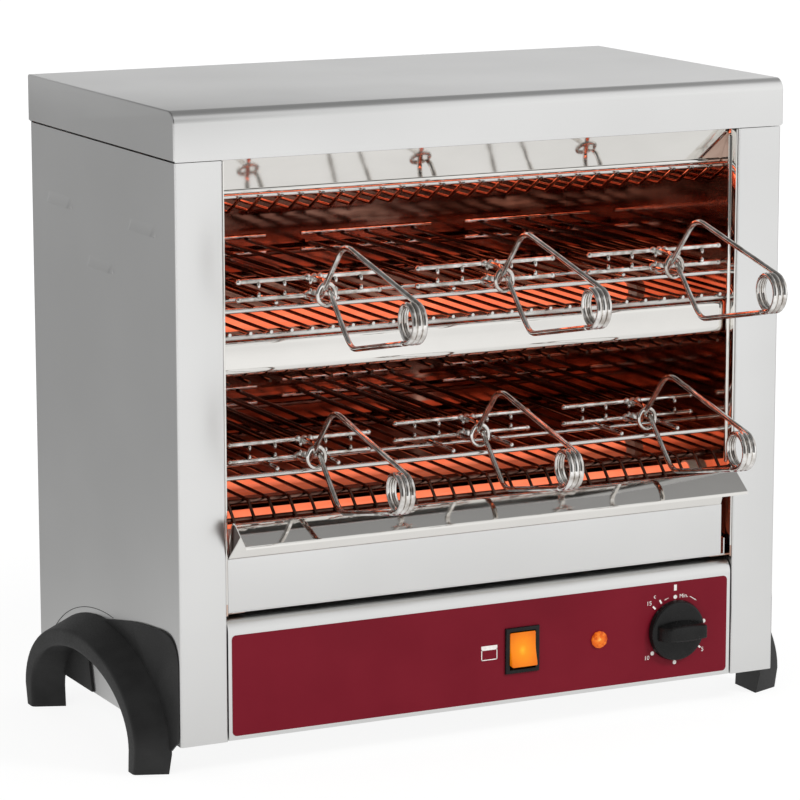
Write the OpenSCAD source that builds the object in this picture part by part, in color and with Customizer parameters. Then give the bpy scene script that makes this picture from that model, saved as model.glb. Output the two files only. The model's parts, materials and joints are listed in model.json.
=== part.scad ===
// Two-level clamp toaster: a stainless cabinet open at the front, six quartz
// heating tubes behind wire guards, two racks that carry six spring tongs,
// a crumb tray, and a control panel with a switch, a lamp and a timer.
// Front is -Y, up is +Z, millimetres. Inside the modules, y is measured back
// from the front faces of the pillars and z up from the underside of the body.

/* [Body] */
// Width over the side panels
body_w = 450; // [435:1:520]
// Depth from the pillar faces to the rear panel
body_d = 255; // [245:1:300]
// Height of the side panels, without feet and lid
body_h = 383; // [378:1:430]
// Thickness of the cabinet sheet
sheet = 1.2; // [0.8:0.1:1.6]
// Width of each front pillar
pillar_w = 33.5; // [28:0.5:36]
// Depth of the pillar's return flange
pillar_return = 16; // [8:1:24]
// Width of the fixing flanges at the top, bottom and rear
flange_w = 15; // [13:1:20]
// Gap between sheets that are fixed face to face
seat_gap = 0.2; // [0.1:0.05:0.3]
// Running clearance between pieces that move
run_gap = 0.3; // [0.25:0.05:0.5]
// Gap left at a weld between two separate pieces
weld_gap = 0.05; // [0.02:0.01:0.1]
// Depth to which crossing wires are welded into each other
weld_bite = 0.3; // [0.2:0.05:0.5]

/* [Lid] */
// Height of the lid above the side panels
lid_h = 33; // [26:1:45]
// Overhang of the lid at the sides and front
lid_over = 1; // [0.5:0.1:3]
// Radius of the lid's front top edge
lid_edge_r = 8; // [4:0.5:12]
// Shadow gap under the lid's side skirts
lid_shadow = 1.5; // [1:0.1:3]
// Diameter of the pads that carry the lid
lid_pad_d = 10; // [6:0.5:12]

/* [Louvres] */
// Length of each pressed louvre
louvre_l = 42; // [30:1:50]
// Height of each pressed louvre
louvre_h = 7; // [5:0.5:10]
// Distance that a louvre stands out from the panel
louvre_out = 2.4; // [1.5:0.1:3]
// Offset of the outer louvres from the middle of the depth
louvre_side = 73.5; // [60:0.5:85]
// Height of the outer louvres
louvre_high_z = 334; // [310:1:350]
// Height of the middle louvre
louvre_low_z = 300; // [250:1:320]

/* [Chamber] */
// Thickness of the inner liners and reflectors
liner_t = 1; // [0.8:0.1:1.2]
// Distance from the rear panel's face to the rear reflector's face
rear_space = 15; // [12:0.5:30]
// Height of the top reflector below the lid
top_space = 4.5; // [4:0.5:8]
// Height of the runner flanges that carry the crumb tray
runner_z = 84.4; // [83.5:0.1:88]
// Width of the runner flanges
runner_w = 14; // [8:1:18]
// Height of the upper edge of the top baffle below the lid
baffle_top = 0.6; // [0.5:0.1:2]
// Height of the top baffle's face
baffle_h = 23; // [18:0.5:24]
// Depth of the top baffle's upper edge
baffle_y = 13; // [9:0.5:16]
// Distance by which the baffle slopes back
baffle_slope = 8.5; // [4:0.5:10]
// Diameter of the rolled lower edge of the baffle
bead_d = 4.4; // [3:0.2:5]
// Half length by which the middle fascia stays short of the liners
fascia_short = 7; // [4:0.5:10]
// Depth of the middle fascia's face
fascia_y = 10; // [8:0.5:14]
// Height of the middle fascia
fascia_h = 23; // [18:0.5:24]
// Radius of the fascia's lower bend
fascia_r = 5; // [3:0.5:7]
// Depth of the fascia's lower flange
fascia_back = 14; // [8:0.5:15]
// Gap from the fascia's upper edge to the upper floor guard's wires
fascia_below = 5.4; // [5.2:0.1:7]

/* [Racks] */
// Height of the lower rack's rails
lower_rack_z = 172.5; // [171.5:0.5:176]
// Height between the two racks
level_pitch = 110; // [109:0.5:112]
// Diameter of the rack rails
rail_d = 5; // [4:0.1:5.2]
// Diameter of the guide wires on the rails
guide_d = 5; // [4.9:0.1:6]
// Distance of each guide wire from the middle of its tong
guide_half = 22; // [12:0.5:26]
// Depth of the front rail
rail_front = 10; // [8:0.5:11]
// Distance from the front rail to the second rail
rail_second = 40; // [30:1:60]
// Distance from the rear reflector to the rear rails
rail_rear = 13; // [9:0.5:20]

/* [Guards] */
// Diameter of the guard wires
guard_d = 2.2; // [1.8:0.1:2.6]
// Diameter of the guard's cross rails
cross_d = 4; // [3:0.1:4.4]
// Spacing of the guard wires
guard_pitch = 14.7; // [12:0.1:18]
// Room kept between the last guard wire and the liner
guard_room = 4; // [3:0.5:8]
// Depth of the fold in the top guard
top_fold_y = 44; // [40:0.5:48]
// Height of the top guard below the lid
top_fold_drop = 40; // [38:0.5:42]
// Depth of the top guard's front ends
top_front = 23; // [22:0.5:25]
// Height by which the top guard rises to its front ends
top_rise = 12.5; // [9:0.5:12.5]
// Height of the lower guard
lower_guard_z = 157; // [155:0.5:160]
// Depth of the fold in the lower guard
lower_fold = 16; // [14:0.5:20]
// Distance by which the folded front of the lower guard drops
lower_drop = 12.5; // [10:0.5:14]
// Height of the upper floor guard's wires below the upper rack
floor_below = 14.1; // [13.5:0.1:16]
// Height of the wires under the middle tubes below the fascia
roof_below = 4.2; // [3.5:0.1:6]
// Distance by which wire ends stand past the front rail
pip = 2.5; // [1:0.5:4]

/* [Heaters] */
// Diameter of the quartz tubes
tube_d = 12; // [9:0.5:13]
// Wall of the quartz tubes
tube_wall = 1; // [0.8:0.1:1.5]
// Depth of the front tube of each pair
tube_front = 52; // [48:1:60]
// Distance from the front tube to the rear tube
tube_pitch = 90; // [70:1:110]
// Height of the lower tubes below the lower guard
low_tube_below = 21; // [18:0.5:24]
// Height of the top tubes below the lid
top_tube_below = 17; // [15:0.5:18]
// Diameter of the ceramic end caps
cap_d = 15; // [14.5:0.5:18]
// Length of the ceramic end caps
cap_l = 14; // [12:1:20]
// Depth of the tube's seat in a cap
cap_seat = 7; // [5:0.5:9]
// Diameter of the heating element in a tube
element_d = 3; // [2:0.1:4]
// Thickness of the element's support discs
disc_t = 0.8; // [0.5:0.1:1.5]

/* [Crumb tray] */
// Half length by which the tray stays short of the liners
tray_short = 3.3; // [2.5:0.1:5]
// Thickness of the tray's sheet
tray_t = 1; // [0.8:0.1:1.2]
// Depth of the tray's front face
tray_face = 2.9; // [2.4:0.1:4]
// Height of the crease above the tray's floor
crease_h = 36; // [30:0.5:38]
// Rise from the crease to the hump of the lip
lip_rise = 18.3; // [14:0.1:19]
// Distance by which the lip leans forward up to its hump
lip_lean = 5.1; // [3:0.1:7]
// Radius of the lip's hump
hump_r = 7.6; // [6:0.1:8]
// Length of the lip's falling side
lip_fall = 6.5; // [4:0.1:8]
// Radius of the flare at the lip's edge
flare_r = 6; // [4:0.5:8]
// Length of the lip's flat edge
lip_edge = 4; // [2:0.5:6]
// Height of the tray's side and rear walls
tray_wall = 12; // [8:1:20]
// Gap between the tray and the rear reflector
tray_back = 8; // [4:1:20]

/* [Controls] */
// Height of the control panel
panel_h = 82; // [80:0.5:83]
// Depth of the control panel's face
panel_y = 1; // [0.9:0.1:2]
// Radius of the control panel's top bend
panel_r = 6; // [4:0.5:10]
// Depth of the control panel's top flange
panel_back = 33; // [20:1:40]
// Gap between the control panel and the pillars
panel_side = 0.9; // [0.5:0.1:0.9]
// Thickness of the printed label
label_t = 0.3; // [0.2:0.05:0.5]
// Height of the label
label_h = 68; // [60:0.5:71]
// Height of the label's lower edge
label_z = 3; // [2:0.5:4]
// Margin between the label and the panel's ends
label_side = 2.6; // [1:0.1:6]
// Corner radius of the label
label_r = 3; // [1:0.5:6]
// Position of the rocker switch, from the middle
switch_x = 26.3; // [20:0.1:40]
// Height of the controls' centre line
control_z = 36.9; // [34:0.1:40]
// Width of the switch's bezel
bezel_w = 25.8; // [24:0.1:28]
// Height of the switch's bezel
bezel_h = 31.9; // [30:0.1:34]
// Width of the switch's opening
switch_w = 20; // [17:0.1:21]
// Height of the switch's opening
switch_h = 26.8; // [26.4:0.1:27.4]
// Height by which the bezel stands out
bezel_out = 1.8; // [1:0.1:2.5]
// Depth of the switch's body
switch_deep = 25; // [20:0.5:30]
// Wall of the switch's body
switch_wall = 0.9; // [0.8:0.1:1]
// Half height of the rocker
rocker_half = 12; // [10:0.1:12.2]
// Depth of the rocker's pivot behind the label
rocker_pivot = 2.3; // [1.5:0.1:3]
// Height of the rocker's ends in front of the pivot
rocker_front = 6.2; // [5:0.1:6.6]
// Height of the rocker's middle in front of the pivot
rocker_mid = 4.6; // [3.5:0.1:5]
// Depth of the rocker behind the pivot
rocker_back = 3; // [2:0.1:4]
// Half height of the rocker's rear edge
rocker_root = 9; // [7:0.1:10]
// Angle of the rocker to either side
rocker_tilt = 8; // [6:0.5:9]
// Diameter of the rocker's pivot pin
pivot_d = 2.4; // [2:0.1:3]
// Position of the pilot lamp, from the middle
lamp_x = 86.2; // [70:0.1:100]
// Diameter of the pilot lamp's lens
lamp_d = 12; // [10:0.5:14]
// Height by which the lens stands out
lamp_out = 2.6; // [1.5:0.1:4]
// Diameter of the pilot lamp's body
lamp_body_d = 8.6; // [7:0.1:9]
// Length of the pilot lamp's body
lamp_deep = 20; // [12:1:25]
// Position of the timer, from the middle
timer_x = 146.5; // [135:0.5:155]
// Diameter of the timer's shaft
shaft_d = 6; // [5:0.5:7]
// Diameter of the timer's knob
knob_d = 40; // [32:0.5:42]
// Thickness of the knob's skirt
knob_skirt = 4; // [3:0.5:6]
// Width of the knob's grip bar
grip_w = 12; // [9:0.5:14]
// Height of the knob's grip bar above its skirt
grip_h = 11; // [8:0.5:14]
// Depth of the shaft's seat in the knob
knob_seat = 10; // [7:0.5:12]
// Width of the timer's body
timer_w = 44; // [36:1:50]
// Depth of the timer's body
timer_deep = 28; // [20:1:34]

/* [Tongs] */
// Width of a tong's jaws
jaw_w = 103; // [94:0.5:104]
// Room between the outer tongs and the liners
jaw_room = 9.8; // [9:0.1:14]
// Depth of the jaws' front bars when a tong is pulled up to the front
jaw_front = 5; // [4:0.5:8]
// Distance by which the upper tongs are pushed in
upper_in = 0; // [0:1:20]
// Distance by which the lower left tong is pushed in
lower_left_in = 17; // [0:1:34]
// Distance by which the lower middle tong is pushed in
lower_mid_in = 34; // [0:1:34]
// Distance by which the lower right tong is pushed in
lower_right_in = 34; // [0:1:34]
// Gap between the innermost jaw and the rear reflector
jaw_back = 19; // [14:0.5:24]
// Diameter of the jaws' end bars
bar_d = 3; // [2.6:0.1:3.2]
// Diameter of the jaws' long wires
jaw_wire_d = 2.2; // [1.8:0.1:2.4]
// Number of long wires in a jaw
jaw_wires = 5; // [3:2:7]
// Spacing of the long wires
jaw_pitch = 18.3; // [14:0.1:19]
// Clear gap between the closed jaws
jaw_gap = 4.8; // [4.6:0.1:5.2]
// Diameter of the handle wire
handle_d = 3.4; // [3:0.1:3.6]
// Reach of the handle's two corners in front of the jaws
corner_reach = 58; // [52:0.5:64]
// Height of the upper corner above the middle of the jaws
apex_rise = 31.5; // [28:0.5:34]
// Drop of the lower corner below the middle of the jaws
corner_drop = 30; // [26:0.5:30.5]
// Reach of the bends behind the crossing
knuckle_reach = 20; // [18:0.5:22]
// Reach of the coil's middle in front of the jaws
coil_reach = 148.7; // [136:0.1:160]
// Drop of the coil's middle below the middle of the jaws
coil_drop = 2; // [0:0.5:4]
// Radius of the coil, to the middle of the wire
coil_r = 12; // [10:0.5:14]
// Pitch of the coil
coil_pitch = 4.3; // [4.2:0.1:5]
// Whole turns of the coil
coil_turns = 2; // [1:1:4]
// Sideways place of each arm at the crossing
arm_x = 2.3; // [2.2:0.1:3]
// Radius of the handle's bends
handle_bend = 7; // [5:0.5:9]
// Radius of the guide ring, to the middle of the wire
ring_r = 8.6; // [8.4:0.1:8.9]
// Diameter of the guide ring's wire
ring_d = 3; // [2.6:0.1:3]
// Height of the upper arm above the ring's middle at rest
ring_rest = 3.2; // [3:0.1:3.3]

/* [Feet] */
// Height of the body above the floor
foot_h = 23; // [18:1:32]
// Distance by which the feet stand out from the side panels
foot_out = 22; // [18:0.5:30]
// Height at which the arches spring from the legs
arch_spring = 15; // [10:0.5:18]
// Depth of the arch's front end at the side panel
arch_front = 15.2; // [12:0.1:20]
// Rise of the arch at the side panel
arch_rise = 70; // [66:0.5:74]
// Depth of the outer rim's front end
rim_front = 25.6; // [22:0.1:30]
// Width of the outer rim
rim_w = 13.4; // [10:0.1:16]
// Rise of the outer rim
rim_rise = 51; // [48:0.5:56]
// Rise of the open arch under the foot
under_rise = 40; // [34:0.5:42]
// Width of a leg at the side panel
leg_w = 32.3; // [26:0.1:36]
// Taper of a leg to its sole at the side panel
sole_taper = 5.3; // [2:0.1:7]
// Taper of the outer rim to its sole
rim_taper = 3.4; // [1:0.1:4]
// Taper of a leg's inner side to its sole
under_taper = 1; // [0.5:0.1:2]
// Thickness of the wing on the panel in front of the arch
wing_t = 2; // [1.5:0.1:3]
// Height of the wing
wing_z = 72.7; // [68:0.1:76]
// Depth of the wing's front edge
wing_front = 2; // [1:0.1:3]
// Depth at which the wing's top edge levels off
wing_level = 30; // [20:1:45]
// Corner radius of the wing
wing_r = 6; // [3:0.5:10]
// Height of the lower end of the wing's front edge
wing_low = 4; // [1:0.5:10]
// Depth of the screw pocket in the back of a foot
foot_pocket = 9; // [5:0.5:12]
// Distance of the foot screws from the middle of the depth
foot_screw_y = 40; // [30:1:50]
// Height of the foot screws
foot_screw_z = 44; // [43:0.5:46]

/* [Rear] */
// Diameter of the screws
screw_d = 3.6; // [3:0.1:4]
// Diameter of the screw heads
screw_head = 7.4; // [6:0.1:8]
// Height of the screw heads
screw_head_h = 2.2; // [1.5:0.1:3]
// Length of the screws
screw_l = 7; // [6:0.5:9]
// Position of the cord gland, from the middle
gland_x = 150; // [120:1:170]
// Height of the cord gland
gland_z = 45; // [35:1:55]
// Thread diameter of the cord gland
gland_d = 19.5; // [16:0.5:22]
// Bore of the cord gland
gland_bore = 9; // [6:0.5:10]
// Length of the gland's nut behind the panel
gland_out = 14; // [10:0.5:20]
// Number of vent slots in each group on the rear panel
vent_rows = 7; // [3:1:9]
// Spacing of the vent slots
vent_pitch = 9; // [7:0.5:11]
// Width of the vent slots
vent_w = 70; // [40:1:90]
// Height of the vent slots
vent_h = 4; // [3:0.5:5]
// Height of the middle of the vents
vent_z = 287; // [260:1:310]
// Distance of the vents from the middle of the rear panel
vent_x = 75; // [50:1:100]
// Length of the terminal block
block_l = 40; // [30:1:60]
// Width of the terminal block
block_w = 20; // [14:1:26]
// Height of the terminal block
block_h = 15; // [10:1:24]
// Diameter of the terminal block's wells
well_d = 5; // [3:0.5:6]
// Thickness and overhang of the cord gland's flange
gland_flange = 3; // [2:0.5:4]
// Thickness of the cord gland's nut
gland_nut = 5; // [4:0.5:8]

/* [Hidden] */
$fn = 48;
TONGS = ["upper_left_tong", "upper_mid_tong", "upper_right_tong",
    "lower_left_tong", "lower_mid_tong", "lower_right_tong"];
TONG_PIECES = ["top_jaw", "bottom_jaw", "spring_arm", "lower_arm"];

// Colours of the finishes
satin = "#c8c8c8";
polished = "#dedcda";
wire = "#b8b6b2";
quartz = "#f2764e";
ceramic = "#e8e2d4";
burgundy = "#771f2d";
black = "#2c2c2c";
amber = "#f08a1d";
brass = "#b08d3c";

// Overshoot of a cut past the faces that it opens
over = 1;
// Overlap that joins two blocks of one piece
join = 0.5;
// Swelling of the wire at a bend, over its drawn diameter
bend_swell = 0.06;

mid_y = body_d / 2;
half_w = body_w / 2;
liner_out = half_w - pillar_w - seat_gap;
liner_in = liner_out - liner_t;
wall_end = liner_in - 2 * weld_gap;
back_y = body_d - rear_space;
rear_in = body_d - sheet - seat_gap;
top_refl_z = body_h - top_space - liner_t;
upper_rack_z = lower_rack_z + level_pitch;
rear_rail_y = back_y - rail_rear;
wire_back = back_y - rail_rear / 3;
cross_off = (guard_d + cross_d) / 2 - weld_bite;
guard_half_n = floor((liner_in - guard_room) / guard_pitch + 0.5);
guard_bend = 2 * guard_d;

fascia_top = upper_rack_z - floor_below - fascia_below;
fascia_low = fascia_top - fascia_h;
fascia_x = liner_in - fascia_short;
floor_z = upper_rack_z - floor_below;
roof_z = fascia_low - roof_below;
top_guard_z = body_h - top_fold_drop;

low_tube_z = lower_guard_z - low_tube_below;
mid_tube_z = fascia_top - fascia_h / 2;
top_tube_z = body_h - top_tube_below;
tube_zs = [low_tube_z, mid_tube_z, top_tube_z];
tube_ys = [tube_front, tube_front + tube_pitch];
cap_x = liner_in - cap_seat + seat_gap;
tube_half = cap_x + cap_seat - seat_gap;
bore_d = tube_d - 2 * tube_wall;

tray_x = liner_in - tray_short;
tray_z = runner_z + liner_t + run_gap;
crease_z = tray_z + crease_h;
hump_y = tray_face - lip_lean - hump_r;
hump_z = crease_z + lip_rise;

label_y = panel_y - label_t;
panel_x = half_w - pillar_w - panel_side;
knob_y = label_y - run_gap - seat_gap;
timer_y = panel_y + sheet + seat_gap;
pivot_y = label_y + rocker_pivot;
bezel_y = label_y - weld_gap;
switch_back = bezel_y + switch_deep;
body_sw = switch_w + 2 * switch_wall;
body_sh = switch_h + 2 * switch_wall;

push_in = [upper_in, upper_in, upper_in, lower_left_in, lower_mid_in, lower_right_in];
tong_pitch = liner_in - jaw_room - jaw_w / 2;
jaw_l = back_y - jaw_front - max(push_in) - jaw_back;
jaw_sep = jaw_gap + bar_d + 2 * jaw_wire_d - 2 * weld_bite;
wire_off = (bar_d + jaw_wire_d) / 2 - weld_bite;
guide_lift = (rail_d + guide_d) / 2 - weld_bite;
jaw_lift = guide_lift + guide_d / 2 + run_gap + (bar_d + jaw_sep) / 2;

gland_y = body_d + weld_gap;
front_reach = coil_reach - jaw_front - upper_in + coil_r + handle_d / 2;
rear_reach = gland_y + gland_out;
centre_shift = (front_reach - rear_reach) / 2;

// Points along the handle wire, from its reach s and its height h
function at(x, s, h) = [x, -s, h];
function unit(v) = v / norm(v);
function turn(u, w) = acos(max(-1, min(1, u * w)));

coil_c = [coil_reach, -coil_drop];
low_corner = [corner_reach, -corner_drop];
apex = [corner_reach, apex_rise];
beta_in = atan2(coil_c[1] - low_corner[1], coil_c[0] - low_corner[0])
    - asin(coil_r / norm(coil_c - low_corner));
beta_out = atan2(apex[1] - coil_c[1], apex[0] - coil_c[0])
    + asin(coil_r / norm(apex - coil_c));
coil_angle = 360 * coil_turns + beta_out - beta_in;
coil_half = coil_pitch * coil_angle / 360 / 2;
coil_rings = ceil(coil_angle / 45);

function coil_at(f) =
    let (b = beta_in + coil_angle * f)
    at(coil_half * (2 * f - 1), coil_c[0] + coil_r * sin(b), coil_c[1] - coil_r * cos(b));

corner_p = at(arm_x, low_corner[0], low_corner[1]);
apex_p = at(-arm_x, apex[0], apex[1]);
coil_start = coil_at(0);
lead = unit(coil_start - corner_p);
lead_l = 1.5 * handle_d;
low_knuckle = at(-arm_x, knuckle_reach, -jaw_sep / 2);
high_knuckle = at(arm_x, knuckle_reach, jaw_sep / 2);
low_end = at(-arm_x, bar_d / 2 + weld_gap, -jaw_sep / 2);
high_end = at(arm_x, bar_d / 2 + weld_gap, jaw_sep / 2);

rise_up = (apex_rise + jaw_sep / 2) / (corner_reach - knuckle_reach);
rise_down = (corner_drop + jaw_sep / 2) / (corner_reach - knuckle_reach);
ring_reach = knuckle_reach + (jaw_sep + ring_rest) / (rise_up + rise_down);
ring_h = jaw_sep / 2 - rise_down * (ring_reach - knuckle_reach);
ring_x = arm_x + handle_d / 2 - weld_bite - ring_r + ring_d / 2;

// A bend of radius r at p, as [centre, first radius, travel, angle]
function bend_at(a, p, b, r) =
    let (u = unit(p - a), w = unit(b - p), t = turn(u, w))
    let (c = p + unit(w - u) * r / cos(t / 2))
    [c, unit(p - u * r * tan(t / 2) - c), u, t];
function bend_points(a, p, b, r, n) =
    let (k = bend_at(a, p, b, r))
    [for (i = [0 : n]) k[0] + r * (k[1] * cos(k[3] * i / n) + k[2] * sin(k[3] * i / n))];

coil_path = [for (i = [0 : coil_rings]) coil_at(i / coil_rings)];
bend_steps = 4;
spring_path = concat(
    [coil_start - lead * lead_l],
    coil_path,
    bend_points(coil_at(1), apex_p, low_knuckle, handle_bend, bend_steps),
    bend_points(apex_p, low_knuckle, low_end, handle_bend, bend_steps),
    [low_end]
);

// Least clear distance of the wound wire to itself, over points a turn apart
turn_points = 6;
coil_clear = min([for (i = [0 : coil_rings - turn_points]) for (j = [i + turn_points : coil_rings])
    norm(coil_path[i] - coil_path[j])]) - handle_d;
echo(str("least gap of the coil to itself, mm: ", coil_clear));

// Rings of m points round a path, turned with it so that they do not twist
function tangent(p, i) = unit(p[min(i + 1, len(p) - 1)] - p[max(i - 1, 0)]);
function square_to(n, t) = unit(n - (n * t) * t);
function ring_at(p, n, t, r, m) =
    [for (j = [0 : m - 1]) p + r * (n * cos(360 * j / m) + cross(t, n) * sin(360 * j / m))];
function tube_rings(p, r, m) =
    [for (i = 0, n = square_to([1, 0, 0], tangent(p, 0)); i < len(p);
        i = i + 1, n = square_to(n, tangent(p, min(i, len(p) - 1))))
        ring_at(p[i], n, tangent(p, i), r, m)];

module placed() translate([0, centre_shift, foot_h]) children();

module block(a, b) translate(a) cube(b - a);

// A flat outline in y and z, drawn out along x
module along_x(x0, x1) translate([x0, 0, 0]) rotate([90, 0, 90]) linear_extrude(height = x1 - x0) children();

// A flat outline in x and z, drawn out along y
module along_y(y0, y1) translate([0, y1, 0]) rotate([90, 0, 0]) linear_extrude(height = y1 - y0) children();

module pin_x(y, z, d, x0, x1) translate([x0, y, z]) rotate([0, 90, 0]) cylinder(d = d, h = x1 - x0);

module pin_y(x, z, d, y0, y1) translate([x, y1, z]) rotate([90, 0, 0]) cylinder(d = d, h = y1 - y0);

module both_sides() {
    children();
    mirror([1, 0, 0]) children();
}

module rod(a, b, d) {
    v = b - a;
    translate(a) rotate([0, acos(v[2] / norm(v)), atan2(v[1], v[0])]) cylinder(d = d, h = norm(v));
}

module elbow(a, p, b, r, d) {
    k = bend_at(a, p, b, r);
    e3 = cross(k[1], k[2]);
    multmatrix([
        [k[1][0], k[2][0], e3[0], k[0][0]],
        [k[1][1], k[2][1], e3[1], k[0][1]],
        [k[1][2], k[2][2], e3[2], k[0][2]],
        [0, 0, 0, 1]
    ]) rotate_extrude(angle = k[3]) translate([r, 0]) circle(d = d + bend_swell);
}

// A round wire through points, bent at each one between the ends
module bent_rod(p, r, d) {
    n = len(p);
    cut = [for (i = [0 : n - 1]) (i == 0 || i == n - 1) ? 0
        : r * tan(turn(unit(p[i] - p[i - 1]), unit(p[i + 1] - p[i])) / 2) - weld_bite];
    for (i = [0 : n - 2]) {
        u = unit(p[i + 1] - p[i]);
        rod(p[i] + u * cut[i], p[i + 1] - u * cut[i + 1], d);
    }
    for (i = [1 : n - 2]) elbow(p[i - 1], p[i], p[i + 1], r, d);
}

// A closed skin over rings of equal length
module skin(rings) {
    n = len(rings);
    m = len(rings[0]);
    last = (n - 1) * m;
    sides = [for (i = [0 : n - 2]) for (j = [0 : m - 1])
        let (a = i * m + j, b = i * m + (j + 1) % m, c = b + m, d = a + m)
        each [[a, d, c], [a, c, b]]];
    caps = [for (j = [1 : m - 2]) each [[0, j, j + 1], [last, last + j + 1, last + j]]];
    polyhedron([for (r = rings) each r], concat(sides, caps), convexity = 8);
}

// The lid
module lid_outline(inset) {
    y0 = -lid_over + inset;
    y1 = body_d + run_gap + sheet - inset;
    z0 = body_h + seat_gap - (inset > 0 ? over : 0);
    z1 = body_h + lid_h - inset;
    r = lid_edge_r - inset;
    translate([y0, z0]) square([y1 - y0, z1 - r - z0]);
    translate([y0 + r, z0]) square([y1 - y0 - r, z1 - z0]);
    translate([y0 + r, z1 - r]) circle(r = r);
}

lid_x = half_w + lid_over;
lid_flange_z = body_h + lid_shadow;
lid_screw_z = body_h + lid_h / 2;
rear_top_z = lid_screw_z + screw_head;
lid_screw_xs = [-half_w * 2 / 3, 0, half_w * 2 / 3];
rear_screw_x = half_w - flange_w / 2;
rear_screw_zs = [for (k = [0 : 3]) body_h * (1 + 3 * k) / 11];
hole_d = screw_d + 2 * seat_gap;

module top_cover() color(satin) placed() {
    difference() {
        along_x(-lid_x, lid_x) lid_outline(0);
        along_x(sheet - lid_x, lid_x - sheet) lid_outline(sheet);
        both_sides() block([lid_x - sheet - join, -lid_over + sheet, body_h - over],
            [lid_x + over, body_d + run_gap, lid_flange_z]);
        for (x = lid_screw_xs) pin_y(x, lid_screw_z, hole_d, body_d, body_d + run_gap + sheet + over);
    }
    both_sides() {
        block([half_w - flange_w, lid_edge_r, lid_flange_z],
            [lid_x - sheet + join, body_d - lid_edge_r, lid_flange_z + sheet]);
        for (f = [1, 3, 5])
            translate([half_w - flange_w / 2 - sheet, body_d * f / 6, body_h + weld_gap])
                cylinder(d = lid_pad_d, h = lid_shadow + join);
    }
    block([-lid_x + sheet - join, -lid_over + sheet - join, body_h + seat_gap],
        [lid_x - sheet + join, lid_edge_r - join, body_h + seat_gap + sheet]);
}

// The cabinet
louvre_r = (louvre_h * louvre_h / 4 + louvre_out * louvre_out) / (2 * louvre_out);
louvre_c = half_w - louvre_r + louvre_out;
louvres = [[mid_y - louvre_side, louvre_high_z], [mid_y, louvre_low_z], [mid_y + louvre_side, louvre_high_z]];

module louvre_hood(p) difference() {
    translate([louvre_c, p[0] - louvre_l / 2, p[1]]) rotate([-90, 0, 0]) cylinder(r = louvre_r, h = louvre_l);
    translate([louvre_c, p[0] - louvre_l / 2 + sheet, p[1]])
        rotate([-90, 0, 0]) cylinder(r = louvre_r - sheet, h = louvre_l - 2 * sheet);
    block([louvre_c - louvre_r - over, p[0] - louvre_l, p[1] - louvre_h],
        [half_w - sheet, p[0] + louvre_l, p[1] + louvre_h]);
    block([half_w, p[0] - louvre_l / 2 + sheet, p[1] - louvre_h],
        [half_w + louvre_out + over, p[0] + louvre_l / 2 - sheet, p[1] - sheet]);
}

module side_panel() {
    difference() {
        union() {
            block([half_w - sheet, 0, 0], [half_w, rear_in, body_h]);
            block([half_w - pillar_w, 0, 0], [half_w, sheet, body_h]);
            block([half_w - pillar_w, 0, 0], [half_w - pillar_w + sheet, pillar_return, body_h]);
            block([half_w - flange_w, rear_in - sheet, 0], [half_w, rear_in, body_h]);
            block([half_w - flange_w, pillar_return, 0], [half_w, rear_in, sheet]);
            block([half_w - flange_w, pillar_return, body_h - sheet], [half_w, rear_in, body_h]);
        }
        for (p = louvres)
            block([half_w - sheet - over, p[0] - louvre_l / 2 + sheet, p[1] - louvre_h / 2 + sheet],
                [half_w + over, p[0] + louvre_l / 2 - sheet, p[1] + louvre_h / 2 - sheet]);
        for (z = rear_screw_zs) pin_y(rear_screw_x, z, hole_d, rear_in - sheet - over, rear_in + over);
        for (s = [-1, 1])
            pin_x(mid_y + s * foot_screw_y, foot_screw_z, hole_d, half_w - sheet - over, half_w + over);
    }
    for (p = louvres) louvre_hood(p);
}

module left_side_panel() color(satin) placed() mirror([1, 0, 0]) side_panel();

module right_side_panel() color(satin) placed() side_panel();

module rear_panel() color(satin) placed() difference() {
    rear_x = lid_x - sheet - run_gap;
    block([-rear_x, body_d - sheet, seat_gap], [rear_x, body_d, rear_top_z]);
    for (x = lid_screw_xs) pin_y(x, lid_screw_z, hole_d, body_d - sheet - over, body_d + over);
    both_sides() for (z = rear_screw_zs) pin_y(rear_screw_x, z, hole_d, body_d - sheet - over, body_d + over);
    both_sides() for (k = [0 : vent_rows - 1]) {
        z = vent_z + (k - vent_rows / 2) * vent_pitch;
        block([vent_x - vent_w / 2, body_d - sheet - over, z],
            [vent_x + vent_w / 2, body_d + over, z + vent_h]);
    }
    pin_y(gland_x, gland_z, gland_d + 2 * seat_gap, body_d - sheet - over, body_d + over);
}

base_z = sheet + seat_gap;

module base_plate() color(satin) placed() {
    y1 = rear_in - sheet - seat_gap;
    x1 = panel_x - sheet - seat_gap;
    block([-x1, panel_y + sheet + seat_gap, base_z], [x1, y1, base_z + sheet]);
    block([-half_w + sheet + seat_gap, pillar_return + seat_gap, base_z],
        [half_w - sheet - seat_gap, y1, base_z + sheet]);
}

// The chamber
module liner() {
    difference() {
        block([liner_in, sheet + run_gap, runner_z], [liner_out, back_y + liner_t, body_h - top_space]);
        for (y = tube_ys) for (z = tube_zs)
            pin_x(y, z, cap_d + 2 * seat_gap, liner_in - over, liner_out + over);
    }
    block([liner_in - runner_w, panel_r, runner_z], [liner_out, back_y - seat_gap, runner_z + liner_t]);
}

module left_liner() color(polished) placed() mirror([1, 0, 0]) liner();

module right_liner() color(polished) placed() liner();

module rear_reflector() color(polished) placed() block(
    [-liner_in + seat_gap, back_y, runner_z],
    [liner_in - seat_gap, back_y + liner_t, top_refl_z - seat_gap]);

module top_reflector() color(polished) placed() block(
    [-liner_in + seat_gap, baffle_y + baffle_slope + bead_d, top_refl_z],
    [liner_in - seat_gap, back_y + liner_t, top_refl_z + liner_t]);

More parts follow.
